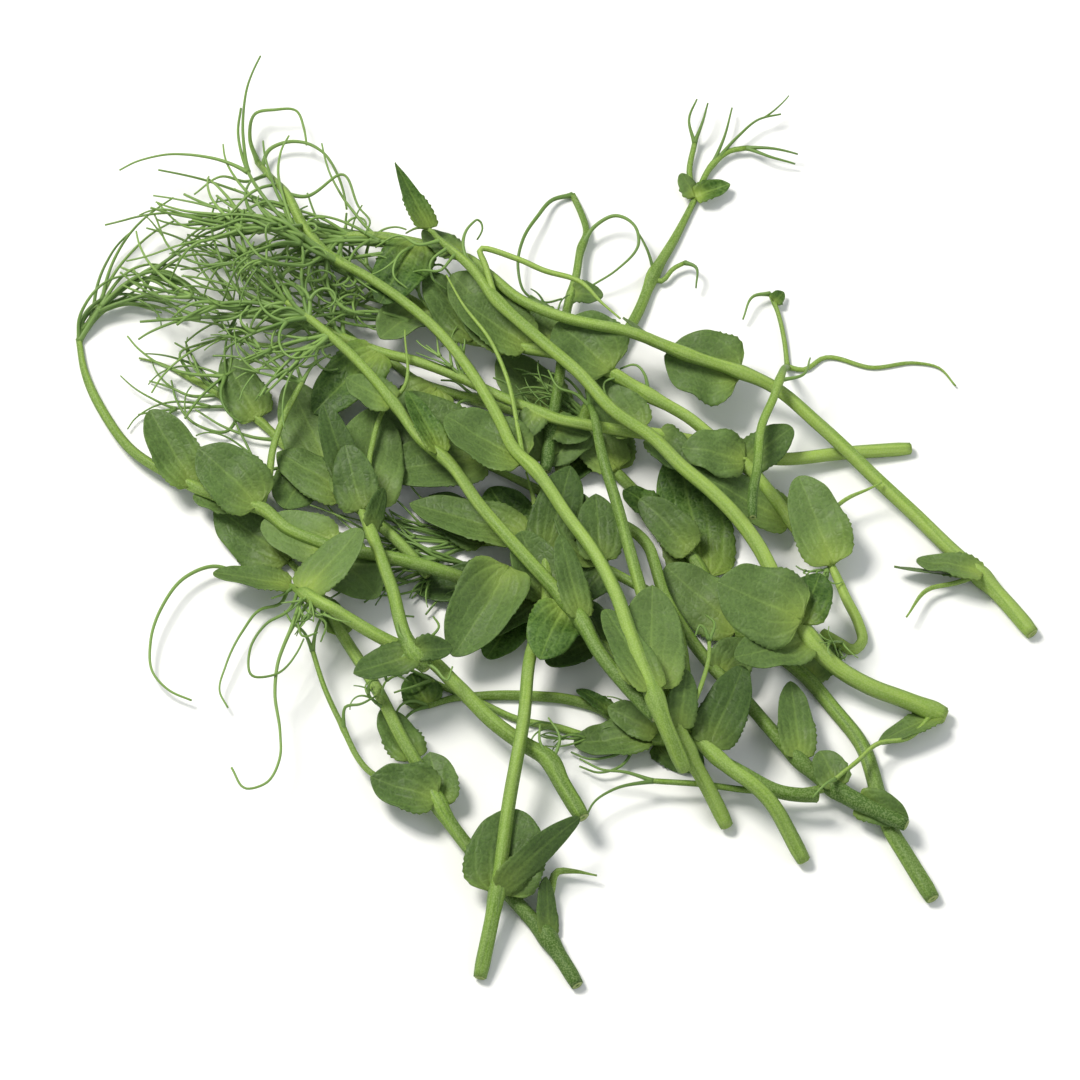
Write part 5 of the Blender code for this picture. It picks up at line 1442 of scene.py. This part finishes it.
def fitted(blade, name, tone, turned):
    """A copy of a blank, fitted to a blade's place."""
    leaf = blade.leaf
    mesh = blanks["small" if leaf.length < SMALL else "large"].data.copy()
    flat = np.empty(len(mesh.vertices) * 3)
    mesh.vertices.foreach_get("co", flat)
    w, row, height = flat.reshape(-1, 3).T
    w = np.clip(w, -1, 1)
    t = 1 - (1 - np.clip((row + 1) / 2, 0, 1)) ** 1.4
    here, u, v = blade.at(t, w)
    tooth = 1 - np.abs(2 * np.mod((1.15 * u + 0.4 * leaf.length) / TOOTH_PITCH, 1) - 1)
    out = TOOTH_DEPTH * tooth * (np.abs(w) > 0.99) * (t < TOOTHED) * (t > 0.03)
    thin = 1 - EDGE_THINNING * np.abs(w) ** 3
    here = here + blade.normal(t, w) * (height * thin)[:, None]
    here[:, :2] += (np.sign(w) * out)[:, None] * leaf.across
    here[:, 2] = np.maximum(here[:, 2], 0.03 + 0.3 * np.clip(height, 0, 1))
    mesh.vertices.foreach_set("co", (here * MM).ravel())
    mesh.update()
    spread_out = 1 + FAN_OUT * t
    half_mm = spread_out * blade.half(t) * leaf.wide / 2
    near = np.hypot(u, v) / leaf.length
    glow = np.exp(-((near / GLOW_REACH) ** 2)) + 0.5 * np.exp(-((v / 0.9) ** 2) - 3 * t)
    note(mesh, "vein_line", np.column_stack([w / spread_out, t, half_mm]))
    note(mesh, "glow", np.minimum(glow, 1))
    note(mesh, "tone", np.full(len(u), tone))
    note(mesh, "under", (height > 0) if turned else (height < 0))
    return new_object(name, mesh)


# %% [markdown]
# ## Raised veins
#
# Close to the base the veins of a pea leaf stand out as pale ribs. The midrib and two veins
# on each side are swept like tendrils, half sunk into the blade, and they thin out to
# nothing. Farther out, the finish draws the veins, because they no longer stand out.

# %% The raised veins
RIB_LINES = (
    # place across, reach as part of the length, radius in mm
    (0.0, 0.62, 0.42), (0.34, 0.45, 0.24), (-0.34, 0.45, 0.24), (0.68, 0.3, 0.2), (-0.68, 0.3, 0.2),
)
RIB_RISE = 0.06  # how far their middle is over the blade's, in mm
FULL_RIBS = 9.0  # the width from which a leaf has full ribs, in mm


def ribs(blade, tone):
    """Runs for the midrib and side veins of a blade."""
    runs = []
    size = min(1.0, blade.leaf.wide / FULL_RIBS)
    for place, reach, thick in RIB_LINES:
        t = np.linspace(0.0, reach, 12)
        w = place * (1 + FAN_OUT * t)
        line = blade.at(t, w)[0] + blade.normal(t, w) * RIB_RISE
        radii = thick * size * (1 - 0.85 * t / reach)
        line[:, 2] = np.maximum(line[:, 2], radii)
        runs.append((line, radii, np.zeros(len(t)), tone))
    return runs


# %% [markdown]
# ## Curls
#
# A pea tendril forks, and its side arms roll up when they touch nothing. The plan has only
# the long arms. The short ones are made here: each starts on a tendril and bends more and
# more towards its tip.

# %% Side arms of the tendrils
CURL_STEP = 0.45  # mm
CURL_EVERY = 28.0  # on average a tendril has one side arm in this many mm
CURL_LENGTH = (5.0, 13.0)  # mm
CURL_BEND = (0.05, 0.32)  # how sharply a tip is bent, in 1/mm
CURL_RISE = (0.2, 2.4)  # how far a tip rises, in mm


def curls(strand, chance, tone):
    """Runs for the short arms that leave a tendril."""
    runs = []
    for _ in range(int(strand.s[-1] / CURL_EVERY + chance.uniform(0, 1))):
        k = int(chance.uniform(0.15, 0.9) * (len(strand.s) - 2))
        hand = chance.choice((-1, 1))
        way = strand.xy[k + 1] - strand.xy[k]
        length = chance.uniform(*CURL_LENGTH)
        far = np.arange(0, length, CURL_STEP)
        bend = hand * np.linspace(0.0, chance.uniform(*CURL_BEND), len(far))
        angle = math.atan2(way[1], way[0]) + hand * chance.uniform(0.1, 0.6) + np.cumsum(bend) * CURL_STEP
        step = CURL_STEP * np.column_stack([np.cos(angle), np.sin(angle)])
        xy = strand.xy[k] + np.cumsum(step, axis=0) - step[0]
        z = strand.z[k] + chance.uniform(*CURL_RISE) * (1 - np.cos(math.pi * far / length)) / 2
        radii = np.linspace(0.72, 0.4, len(far)) * strand.radius[k]
        line = np.column_stack([xy, np.maximum(z, radii)])
        runs.append((line, radii, np.zeros(len(far)), tone))
    return runs


# %% [markdown]
# ## Node helpers
#
# Each finish is a small network of nodes. A few helpers keep the networks readable. The
# first adds a node and writes or links each of its inputs, and the others are short words
# for what is used most.

# %% Small helpers for node networks
def put(tree, kind, settings=None, **inputs):
    """A new node. Inputs are named, or numbered as i0, i1 where their names repeat."""
    node = tree.nodes.new("ShaderNode" + kind)
    for name, value in (settings or {}).items():
        setattr(node, name, value)
    for name, value in inputs.items():
        socket = node.inputs[int(name[1:]) if name[1:].isdigit() else name.replace("_", " ")]
        if isinstance(value, bpy.types.NodeSocket):
            tree.links.new(value, socket)
        else:
            socket.default_value = value
    return node


def math_of(tree, operation, *values):
    node = put(tree, "Math", {"operation": operation}, **{f"i{n}": value for n, value in enumerate(values)})
    return node.outputs[0]


def times(tree, one, other):
    return math_of(tree, "MULTIPLY", one, other)


def mixed(tree, mask, one, other):
    """One colour where the mask is 0, the other where it is 1."""
    node = put(tree, "Mix", {"data_type": "RGBA"}, i0=mask, i6=one, i7=other)
    return node.outputs[2]


def tinted(tree, color, mask, strength, other):
    """The colour, moved towards another one by that much of the mask."""
    return mixed(tree, times(tree, mask, strength), color, other)


def ranged(tree, value, low, high, to_low=0.0, to_high=1.0):
    node = put(
        tree, "MapRange", {"interpolation_type": "SMOOTHSTEP"},
        Value=value, From_Min=low, From_Max=high, To_Min=to_low, To_Max=to_high,
    )
    return node.outputs[0]


def attribute(tree, name):
    return put(tree, "Attribute", {"attribute_name": name})


def new_group(name, inputs, outputs):
    """An empty node group with number inputs and outputs, and its two end nodes."""
    tree = bpy.data.node_groups.new(name, "ShaderNodeTree")
    for label, value in inputs.items():
        tree.interface.new_socket(label, in_out="INPUT", socket_type="NodeSocketFloat").default_value = value
    for label in outputs:
        tree.interface.new_socket(label, in_out="OUTPUT", socket_type="NodeSocketFloat")
    return tree, tree.nodes.new("NodeGroupInput"), tree.nodes.new("NodeGroupOutput")


def placed(tree, group, **inputs):
    node = put(tree, "Group", {"node_tree": group})
    for name, value in inputs.items():
        node.inputs[name.replace("_", " ")].default_value = value
    return node


# %% [markdown]
# ## Streaks along a stem
#
# The skin of a stem is darker in the grooves and bright yellow-green on the ribs, in bands
# that run along it. The pale bands are partly painted highlights, where light catches on
# the ribs, and the dark ones partly painted shade in the grooves. A noise texture reads the
# place round and along the stem, and the place along is shrunk, so that its blotches are
# drawn out into long streaks.

# %% The streaks
streaks, enter, leave = new_group("stem_streaks", {"Across": 1.3, "Along": 0.03}, ["Streak"])
place_on_stem = attribute(streaks, "grain").outputs["Vector"]
across = enter.outputs["Across"]
scale = put(streaks, "CombineXYZ", X=across, Y=across, Z=enter.outputs["Along"])
drawn_out = put(streaks, "VectorMath", {"operation": "MULTIPLY"}, i0=place_on_stem, i1=scale.outputs[0])
noise = put(streaks, "TexNoise", Vector=drawn_out.outputs[0], Scale=1.0, Detail=2.0, Roughness=0.5)
streaks.links.new(ranged(streaks, noise.outputs["Fac"], 0.34, 0.66), leave.inputs["Streak"])

# %% [markdown]
# ## Bloom
#
# Pea plants are covered with a thin wax, the bloom. It makes the skin greyer and less shiny
# in soft patches and leaves fine specks. Every part has it, so it is a group too. It reads
# Object coordinates, because wax doesn't follow the grain.

# %% The waxy bloom
bloom, enter, leave = new_group("waxy_bloom", {"Patches": 190.0, "Specks": 2600.0}, ["Patch", "Speck"])
where = put(bloom, "TexCoord").outputs["Object"]
patch = put(bloom, "TexNoise", Vector=where, Scale=enter.outputs["Patches"], Detail=3.0, Roughness=0.6)
speck = put(bloom, "TexNoise", Vector=where, Scale=enter.outputs["Specks"], Detail=1.0, Roughness=0.5)
bloom.links.new(ranged(bloom, patch.outputs["Fac"], 0.36, 0.68), leave.inputs["Patch"])
bloom.links.new(ranged(bloom, speck.outputs["Fac"], 0.42, 0.62), leave.inputs["Speck"])

# %% [markdown]
# ## Veins
#
# In a pea's clasping leaves the veins fan out from the base, on both sides of one midrib.
# The blade's note says on which of these lines a point lies, and how many mm one unit of
# that line is worth there. The distance to the nearest vein is then known in mm, so the
# veins stay equally thin to the edge. They are soft and fade towards the tip, and where a
# blade is narrow they lie close together and hardly show. A fine net of cells fills the
# space between them.

# %% The veins of a blade
veins, enter, leave = new_group("fan_veins", {"Count": 4.0, "Width": 0.4}, ["Vein", "Midrib", "Net"])
vein_line = attribute(veins, "vein_line").outputs["Vector"]
xyz = put(veins, "SeparateXYZ", Vector=vein_line)
where = put(veins, "TexCoord").outputs["Object"]
wobble = put(veins, "TexNoise", Vector=where, Scale=260.0, Detail=1.0)
sway = math_of(veins, "SUBTRACT", wobble.outputs["Fac"], 0.5)
line = math_of(veins, "MULTIPLY_ADD", sway, 0.16, xyz.outputs["X"])
turn = math_of(veins, "PINGPONG", times(veins, line, enter.outputs["Count"]), 0.5)
near = math_of(veins, "DIVIDE", times(veins, turn, xyz.outputs["Z"]), enter.outputs["Count"])
soft = math_of(veins, "DIVIDE", near, enter.outputs["Width"])
drawn = ranged(veins, soft, 0.0, 1.0, 1.0, 0.0)
fade = ranged(veins, xyz.outputs["Y"], 0.05, 0.9, 1.0, 0.2)
room = ranged(veins, xyz.outputs["Z"], 1.5, 5.5, 0.25, 1.0)
seen = times(veins, drawn, times(veins, fade, room))
veins.links.new(seen, leave.inputs["Vein"])
off_middle = times(veins, math_of(veins, "ABSOLUTE", xyz.outputs["X"]), xyz.outputs["Z"])
rib_width = math_of(veins, "MULTIPLY_ADD", xyz.outputs["Y"], -0.35, 0.5)
veins.links.new(
    ranged(veins, math_of(veins, "DIVIDE", off_middle, rib_width), 0.2, 1.0, 1.0, 0.0), leave.inputs["Midrib"]
)
cells = put(veins, "TexVoronoi", {"feature": "DISTANCE_TO_EDGE"}, Vector=where, Scale=800.0)
veins.links.new(ranged(veins, cells.outputs["Distance"], 0.0, 0.22, 1.0, 0.0), leave.inputs["Net"])
print("node groups:", ", ".join(group.name for group in bpy.data.node_groups))

# %% [markdown]
# ## The skin of the stems
#
# Three colours meet on a stem: dark green, fresh green and yellow-green. The tone of each
# shoot, which is part of its mesh, moves between them, and the streaks do the rest. The tone
# picks between a dim and a lit copy of the skin: partly the shoot's own green, partly
# painted shade for a shoot that lies under others. Below 0 the tone makes a stem darker,
# down to the dark green at -1: painted shade at the cut ends, and a deeper green at some
# tips. Light goes a little way into the flesh, so the stem has some subsurface scattering,
# and its edges, where it is seen edge on, are painted a deeper green as shade. The cut face
# takes its colour from its own mask: a pale ring with a small olive spot.

# %% The stem skin
STEM_DARK = (0.050, 0.110, 0.014, 1)
STEM_FRESH = (0.180, 0.310, 0.036, 1)
STEM_BRIGHT = (0.355, 0.485, 0.100, 1)
STEM_BLOOM = (0.200, 0.290, 0.090, 1)
# The colour of the painted shade on a stem's edges, where it is seen edge on.
STEM_EDGE_SHADE = (0.070, 0.150, 0.018, 1)
STEM_SPECK = (0.450, 0.560, 0.240, 1)
CUT_PALE = (0.320, 0.380, 0.130, 1)
CUT_SPOT = (0.130, 0.170, 0.050, 1)


def new_skin(name, roughness, depth, shine):
    """A material with its constant values set, and its tree and shader."""
    material = bpy.data.materials.new(name)
    material.use_nodes = True
    shader = material.node_tree.nodes["Principled BSDF"]
    shader.inputs["Subsurface Weight"].default_value = depth
    shader.inputs["Subsurface Radius"].default_value = (0.7, 1.0, 0.25)
    shader.inputs["Subsurface Scale"].default_value = 0.0012
    shader.inputs["Roughness"].default_value = roughness
    shader.inputs["Specular IOR Level"].default_value = shine
    return material, material.node_tree, shader


def finished(tree, shader, color, height, strength, depth):
    """Links a colour and a bump to the shader. depth is what the height is worth, in m."""
    bump = put(tree, "Bump", Strength=strength, Distance=depth, Height=height)
    tree.links.new(color, shader.inputs["Base Color"])
    tree.links.new(bump.outputs[0], shader.inputs["Normal"])


stem_skin, tree, shader = new_skin("pea_stem_skin", 0.55, 0.12, 0.22)
tone = attribute(tree, "tone").outputs["Fac"]
streak = placed(tree, streaks, Across=1.1, Along=0.02).outputs["Streak"]
fine = placed(tree, streaks, Across=4.0, Along=0.06).outputs["Streak"]
wax = placed(tree, bloom, Patches=260.0, Specks=3600.0)
# The streaks, partly painted highlights on the ribs and painted shade in the grooves.
streak_light_and_shade = ranged(tree, streak, 0.0, 1.0, 0.2, 0.8)
# A dim and a lit copy of the skin. The tone picks between them: painted shade for shoots under others.
dim = mixed(tree, streak_light_and_shade, STEM_DARK, STEM_FRESH)
lit = mixed(tree, streak_light_and_shade, STEM_FRESH, STEM_BRIGHT)
color = mixed(tree, tone, dim, lit)
color = tinted(tree, color, fine, 0.12, STEM_BRIGHT)
color = tinted(tree, color, wax.outputs["Patch"], 0.3, STEM_BLOOM)
# A tone below 0 darkens the skin: painted shade at cut ends under other shoots, a deeper green at some tips.
color = tinted(tree, color, tone, -1.0, STEM_DARK)
color = tinted(tree, color, wax.outputs["Speck"], 0.2, STEM_SPECK)
middle = put(tree, "VectorMath", {"operation": "LENGTH"}, i0=attribute(tree, "grain").outputs["Vector"])
spot = ranged(tree, middle.outputs["Value"], 0.12, 0.40, 1.0, 0.0)
cut = mixed(tree, spot, CUT_PALE, CUT_SPOT)
color = mixed(tree, ranged(tree, attribute(tree, "cut").outputs["Fac"], 0.2, 0.8), color, cut)
# Painted shade: the skin is darkened towards its edges, where it is seen edge on.
edge_shade_mask = put(tree, "LayerWeight", Blend=0.5).outputs["Facing"]
color = mixed(tree, ranged(tree, edge_shade_mask, 0.35, 0.95, 0.0, 0.55), color, STEM_EDGE_SHADE)
height = math_of(tree, "ADD", times(tree, streak, 0.6), times(tree, fine, 0.4))
height = math_of(tree, "MULTIPLY_ADD", wax.outputs["Speck"], 0.15, height)
finished(tree, shader, color, height, 0.2, 0.00025)
tree.links.new(ranged(tree, wax.outputs["Patch"], 0.0, 1.0, 0.48, 0.66), shader.inputs["Roughness"])

# %% [markdown]
# ## The skin of the leaves
#
# A blade is a deep green. It is mottled with bloom, with broad darker patches and pale
# specks of two sizes. It is lighter along its veins, yellow-green where it clasps the stem,
# and paler underneath. Its tone moves it from the dark to the fresh green: partly its own
# green and partly painted shade for leaves that lie in shadow under others, and in that
# painted shade its pale marks are dimmed too. The bump goes down along the veins, and the
# cells between them stand up a little.

# %% The leaf skin
LEAF_DARK = (0.012, 0.037, 0.006, 1)
LEAF_FRESH = (0.035, 0.092, 0.009, 1)
LEAF_BLOOM = (0.102, 0.198, 0.042, 1)
LEAF_SPECK = (0.152, 0.258, 0.068, 1)
LEAF_VEIN = (0.158, 0.262, 0.054, 1)
LEAF_BASE = (0.300, 0.410, 0.070, 1)
LEAF_UNDER = (0.150, 0.220, 0.075, 1)

leaf_skin, tree, shader = new_skin("pea_leaf_skin", 0.5, 0.1, 0.14)
tone = attribute(tree, "tone").outputs["Fac"]
wax = placed(tree, bloom, Patches=340.0, Specks=2100.0)
broad = placed(tree, bloom, Patches=95.0, Specks=1100.0)
vein = placed(tree, veins, Count=3.5, Width=0.5)
# The tone darkens the blade: partly its own green, partly painted shade for leaves under others.
color = mixed(tree, tone, LEAF_DARK, LEAF_FRESH)
dusty = times(tree, wax.outputs["Patch"], math_of(tree, "MULTIPLY_ADD", tone, 0.35, 0.12))
color = mixed(tree, dusty, color, LEAF_BLOOM)
# How lit the blade is painted: its pale marks are dimmed where the tone is painted shade.
light = math_of(tree, "MULTIPLY_ADD", tone, 0.75, 0.25)
for spots, strength in ((wax, 0.40), (broad, 0.28)):
    amount = times(tree, light, strength)
    color = tinted(tree, color, spots.outputs["Speck"], amount, LEAF_SPECK)
color = tinted(tree, color, broad.outputs["Patch"], 0.5, LEAF_DARK)
for mark, strength in (("Net", 0.22), ("Vein", 0.66), ("Midrib", 0.66)):
    amount = times(tree, vein.outputs[mark], strength)
    color = tinted(tree, color, amount, light, LEAF_VEIN)
under = ranged(tree, attribute(tree, "under").outputs["Fac"], 0.3, 0.7, 0.0, 0.65)
color = tinted(tree, color, under, light, LEAF_UNDER)
glow = times(tree, attribute(tree, "glow").outputs["Fac"], 0.7)
color = tinted(tree, color, glow, light, LEAF_BASE)
height = times(tree, wax.outputs["Patch"], 0.5)
height = math_of(tree, "MULTIPLY_ADD", vein.outputs["Vein"], -0.6, height)
height = math_of(tree, "MULTIPLY_ADD", vein.outputs["Net"], -0.25, height)
finished(tree, shader, color, height, 0.5, 0.0003)
tree.links.new(ranged(tree, wax.outputs["Patch"], 0.0, 1.0, 0.42, 0.62), shader.inputs["Roughness"])

# %% [markdown]
# ## The skin of the tendrils
#
# Tendrils are smooth and a plain deep green, some a bit lighter than others. Their tone is
# partly random and partly their shoot's, so it carries that shoot's painted shade. Seen from
# here they are only a few pixels wide, so a soft change of tone is enough.

# %% The tendril skin
TENDRIL_DARK = (0.064, 0.130, 0.030, 1)
TENDRIL_FRESH = (0.225, 0.355, 0.096, 1)

tendril_skin, tree, shader = new_skin("pea_tendril_skin", 0.45, 0.08, 0.22)
tone = attribute(tree, "tone").outputs["Fac"]
wax = placed(tree, bloom, Patches=160.0, Specks=2600.0)
streak = placed(tree, streaks, Across=1.5, Along=0.10).outputs["Streak"]
color = mixed(tree, tone, TENDRIL_DARK, TENDRIL_FRESH)
color = tinted(tree, color, wax.outputs["Patch"], 0.35, LEAF_VEIN)
color = tinted(tree, color, streak, 0.25, TENDRIL_FRESH)
finished(tree, shader, color, streak, 0.2, 0.0001)
print("finishes:", stem_skin.name, leaf_skin.name, tendril_skin.name)

# %% [markdown]
# ## Dressing the shoots
#
# Now every shoot gets its pieces. All its stems and stalks become one mesh, all its
# leaves another and all its tendrils a third. Each piece rides on the body that the solids
# belong to and stands in for its shoot's solid. The tone of a shoot, from dark to bright, is
# one number for its stems and one for its leaves, both set to its look in the photo. Each is
# partly the shoot's own green and partly painted shade, low for the shoots that lie in the
# shade under the others. Some stems get a number more: painted shade near their cut end,
# where it lies under other shoots, and a deeper green near their tip.

# %% Tones and joining parts
# Partly each shoot's own green, partly painted shade: the shoots under the others get low tones.
STEM_TONES_AND_SHADE = (
    0.10, 0.30, 0.10, 0.08, 0.10, 0.30, 0.12, 0.08, 0.90, 0.62, 0.55,
    0.46, 0.57, 0.66, 0.50, 0.60, 0.50, 0.78, 0.70, 0.74, 0.35, 0.80,
)
# Partly each shoot's own green, partly painted shade: leaves that lie in shadow get low tones.
LEAF_TONES_AND_SHADE = (
    0.10, 0.30, 0.50, 0.42, 0.12, 0.02, 0.58, 0.50, 0.42, 0.44, 0.80,
    0.62, 0.42, 0.58, 0.40, 0.14, 0.24, 0.36, 0.48, 0.45, 0.80, 0.50,
)
LEAF_TONE_SPREAD = 0.6  # how far the tones of a shoot's leaves differ, as part of the tone
TURNED_LEAVES = 0.2  # how often a leaf shows its paler underside


def one_piece(parts, name, skin):
    """Joins parts into one piece with a skin."""
    bpy.ops.object.select_all(action="DESELECT")
    for part in parts:
        part.select_set(True)
    bpy.context.view_layer.objects.active = parts[0]
    if len(parts) > 1:
        bpy.ops.object.join()
    piece = bpy.context.view_layer.objects.active
    piece.name = name
    piece.data.name = name
    piece.data.materials.clear()
    piece.data.materials.append(skin)
    return piece


# %% Making the pieces
YOUNG_TONE = (0.3, 0.6)  # a young leaf's tone, as a base and a part of its shoot's tone
# Painted shade at the cut ends that lie under other shoots: how much the tone drops there.
SHADED_CUT_ENDS = {  # how much the tone goes down towards the cut end, by shoot
    2: 1.3, 3: 0.4, 4: 1.1, 5: 0.8, 7: 0.4, 8: 1.2, 11: 0.5, 12: 0.5, 13: 0.8, 16: 0.7, 17: 0.7,
    19: 1.4, 20: 0.4, 21: 1.5,
}
DEEP_TIPS = {9: 0.5, 12: 0.4, 14: 0.4, 15: 0.8, 18: 0.4, 19: 0.35, 20: 0.4}  # and towards the tip
END_SHADE_REACH = 0.35  # how far the duller part reaches, as part of the stem's length
DEEP_FROM = 0.45  # where a stem starts to get deeper, as part of its length
DEEP_OVER = 0.3  # over how much of its length it does
TWIG_DEEPER = 0.1  # how much lower the tone of a stalk is than its stem's
RIB_GLOW_REACH = 4.0  # how far the base's yellow reaches on the raised veins, in mm
# Tones of tendrils: a base, a part of the shoot's tone, which carries its painted shade,
# and how far they go below and above.
TENDRIL_TONES = (0.25, 0.5, -0.2, 0.2)
FINE_TONES = (0.3, 0.3, -0.3, 0.35)
SLENDER = {18: 32.0, 20: 24.0}  # shoots whose stem thins out over more than the usual length, in mm
CURLY = (7, 9, 10, 11, 12, 14, 19)  # shoots whose tendrils get short side arms


def tones_along(number, strand, tone):
    """The tone at each point of a stem: lower at its cut end as painted shade, deeper towards its tip."""
    part = strand.s / strand.s[-1]
    end_shade = SHADED_CUT_ENDS.get(number, 0) * np.exp(-((part / END_SHADE_REACH) ** 2))
    deep = DEEP_TIPS.get(number, 0) * np.clip((part - DEEP_FROM) / DEEP_OVER, 0, 1)
    return tone - end_shade - deep


def stem_piece(name, number, strands, tone, turn):
    """The stem, its cut face and its stalks."""
    thick = {kind: [s for s in strands if s.kind == kind] for kind in OUTLINES}
    tones = tones_along(number, thick["stem"][0], tone)
    stem_run = run_of(thick["stem"][0], 1, turn, tones, SLENDER.get(number, THIN_OVER))
    parts = [sweep(name + "_stem", "stem", [stem_run]), cut_end(stem_run, name + "_cut")]
    if thick["twig"]:
        twig_runs = [run_of(s, 1, turn, max(tone - TWIG_DEEPER, 0)) for s in thick["twig"]]
        parts.append(sweep(name + "_twigs", "twig", twig_runs))
    return one_piece(parts, name + "_stems", stem_skin)


def leaf_piece(name, number, strands, young_blades, tone, chance):
    """The leaves of a shoot, its young ones too, with their raised veins."""
    found = [(strand, leaf, tone) for strand in strands for _, leaf in strand.leaves]
    found += [(strand, leaf, YOUNG_TONE[0] + YOUNG_TONE[1] * tone) for strand, _, leaf in young_blades]
    blades = [
        Blade(leaf, strand, (number, count), chance) for count, (strand, leaf, _) in enumerate(found)
    ]
    keep_apart(blades)
    parts = []
    runs = []
    for blade, (_, _, usual) in zip(blades, found):
        leaf_tone = min(usual * (1 + chance.uniform(-1, 1) * LEAF_TONE_SPREAD), 1)
        parts.append(fitted(blade, name + "_leaf", leaf_tone, chance.uniform(0, 1) < TURNED_LEAVES))
        runs += ribs(blade, leaf_tone)
    if not parts:
        return None
    raised = sweep(name + "_ribs", "tendril", runs)
    far = np.concatenate([np.repeat(along(run[0]), OUTLINES["tendril"][0]) for run in runs])
    note(raised.data, "glow", np.exp(-((far / RIB_GLOW_REACH) ** 2)))
    return one_piece(parts + [raised], name + "_leaves", leaf_skin)


def varied(tones, tone, chance):
    """A tendril's tone, a little different for each one."""
    base, part, below, above = tones
    return np.clip(base + part * tone + chance.uniform(below, above), 0, 1)


def tendril_piece(name, number, strands, fine_arms, tone, turn, chance):
    """The tendrils of a shoot, with their side arms and the fine ones of its fans."""
    runs = []
    for strand in (s for s in strands if s.kind == "tendril"):
        here = varied(TENDRIL_TONES, tone, chance)
        runs.append(run_of(strand, 2, turn, here))
        if number in CURLY:
            runs += curls(strand, chance, here)
    for arm in fine_arms:
        runs.append(run_of(arm, 2, turn, varied(FINE_TONES, tone, chance)))
    if not runs:
        return None
    return one_piece([sweep(name + "_tendril", "tendril", runs)], name + "_tendrils", tendril_skin)


total = 0
for number, ((strands, young_blades, fine_arms), tone, leaf_tone) in enumerate(
    zip(laid, STEM_TONES_AND_SHADE, LEAF_TONES_AND_SHADE), 1
):
    name = f"shoot_{number:02d}"
    chance = np.random.default_rng(100 + number)
    turn = chance.uniform(0, 2 * math.pi)
    made = [
        stem_piece(name, number, strands, tone, turn),
        leaf_piece(name, number, strands, young_blades, leaf_tone, chance),
        tendril_piece(name, number, strands, fine_arms, tone, turn, chance),
    ]
    for piece in (piece for piece in made if piece is not None):
        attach(piece, "root")
        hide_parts(name)
        piece.data.calc_loop_triangles()
        total += len(piece.data.loop_triangles)
print("the dressed heap:", total, "triangles")

# %% [markdown]
# ## Clearing up
#
# The outlines, the cut face and the blanks were only tools. They aren't part of the heap, so
# they go.

# %% Clearing up and checking the size
for tool in (*outlines.values(), cut_face, *blanks.values()):
    bpy.data.objects.remove(tool)

visual_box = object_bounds()
for side, low, high, cad_low, cad_high in zip("xyz", *visual_box, *cad_box):
    print(side, round((cad_low - low) / MM, 1), "and", round((high - cad_high) / MM, 1), "mm over the solids")
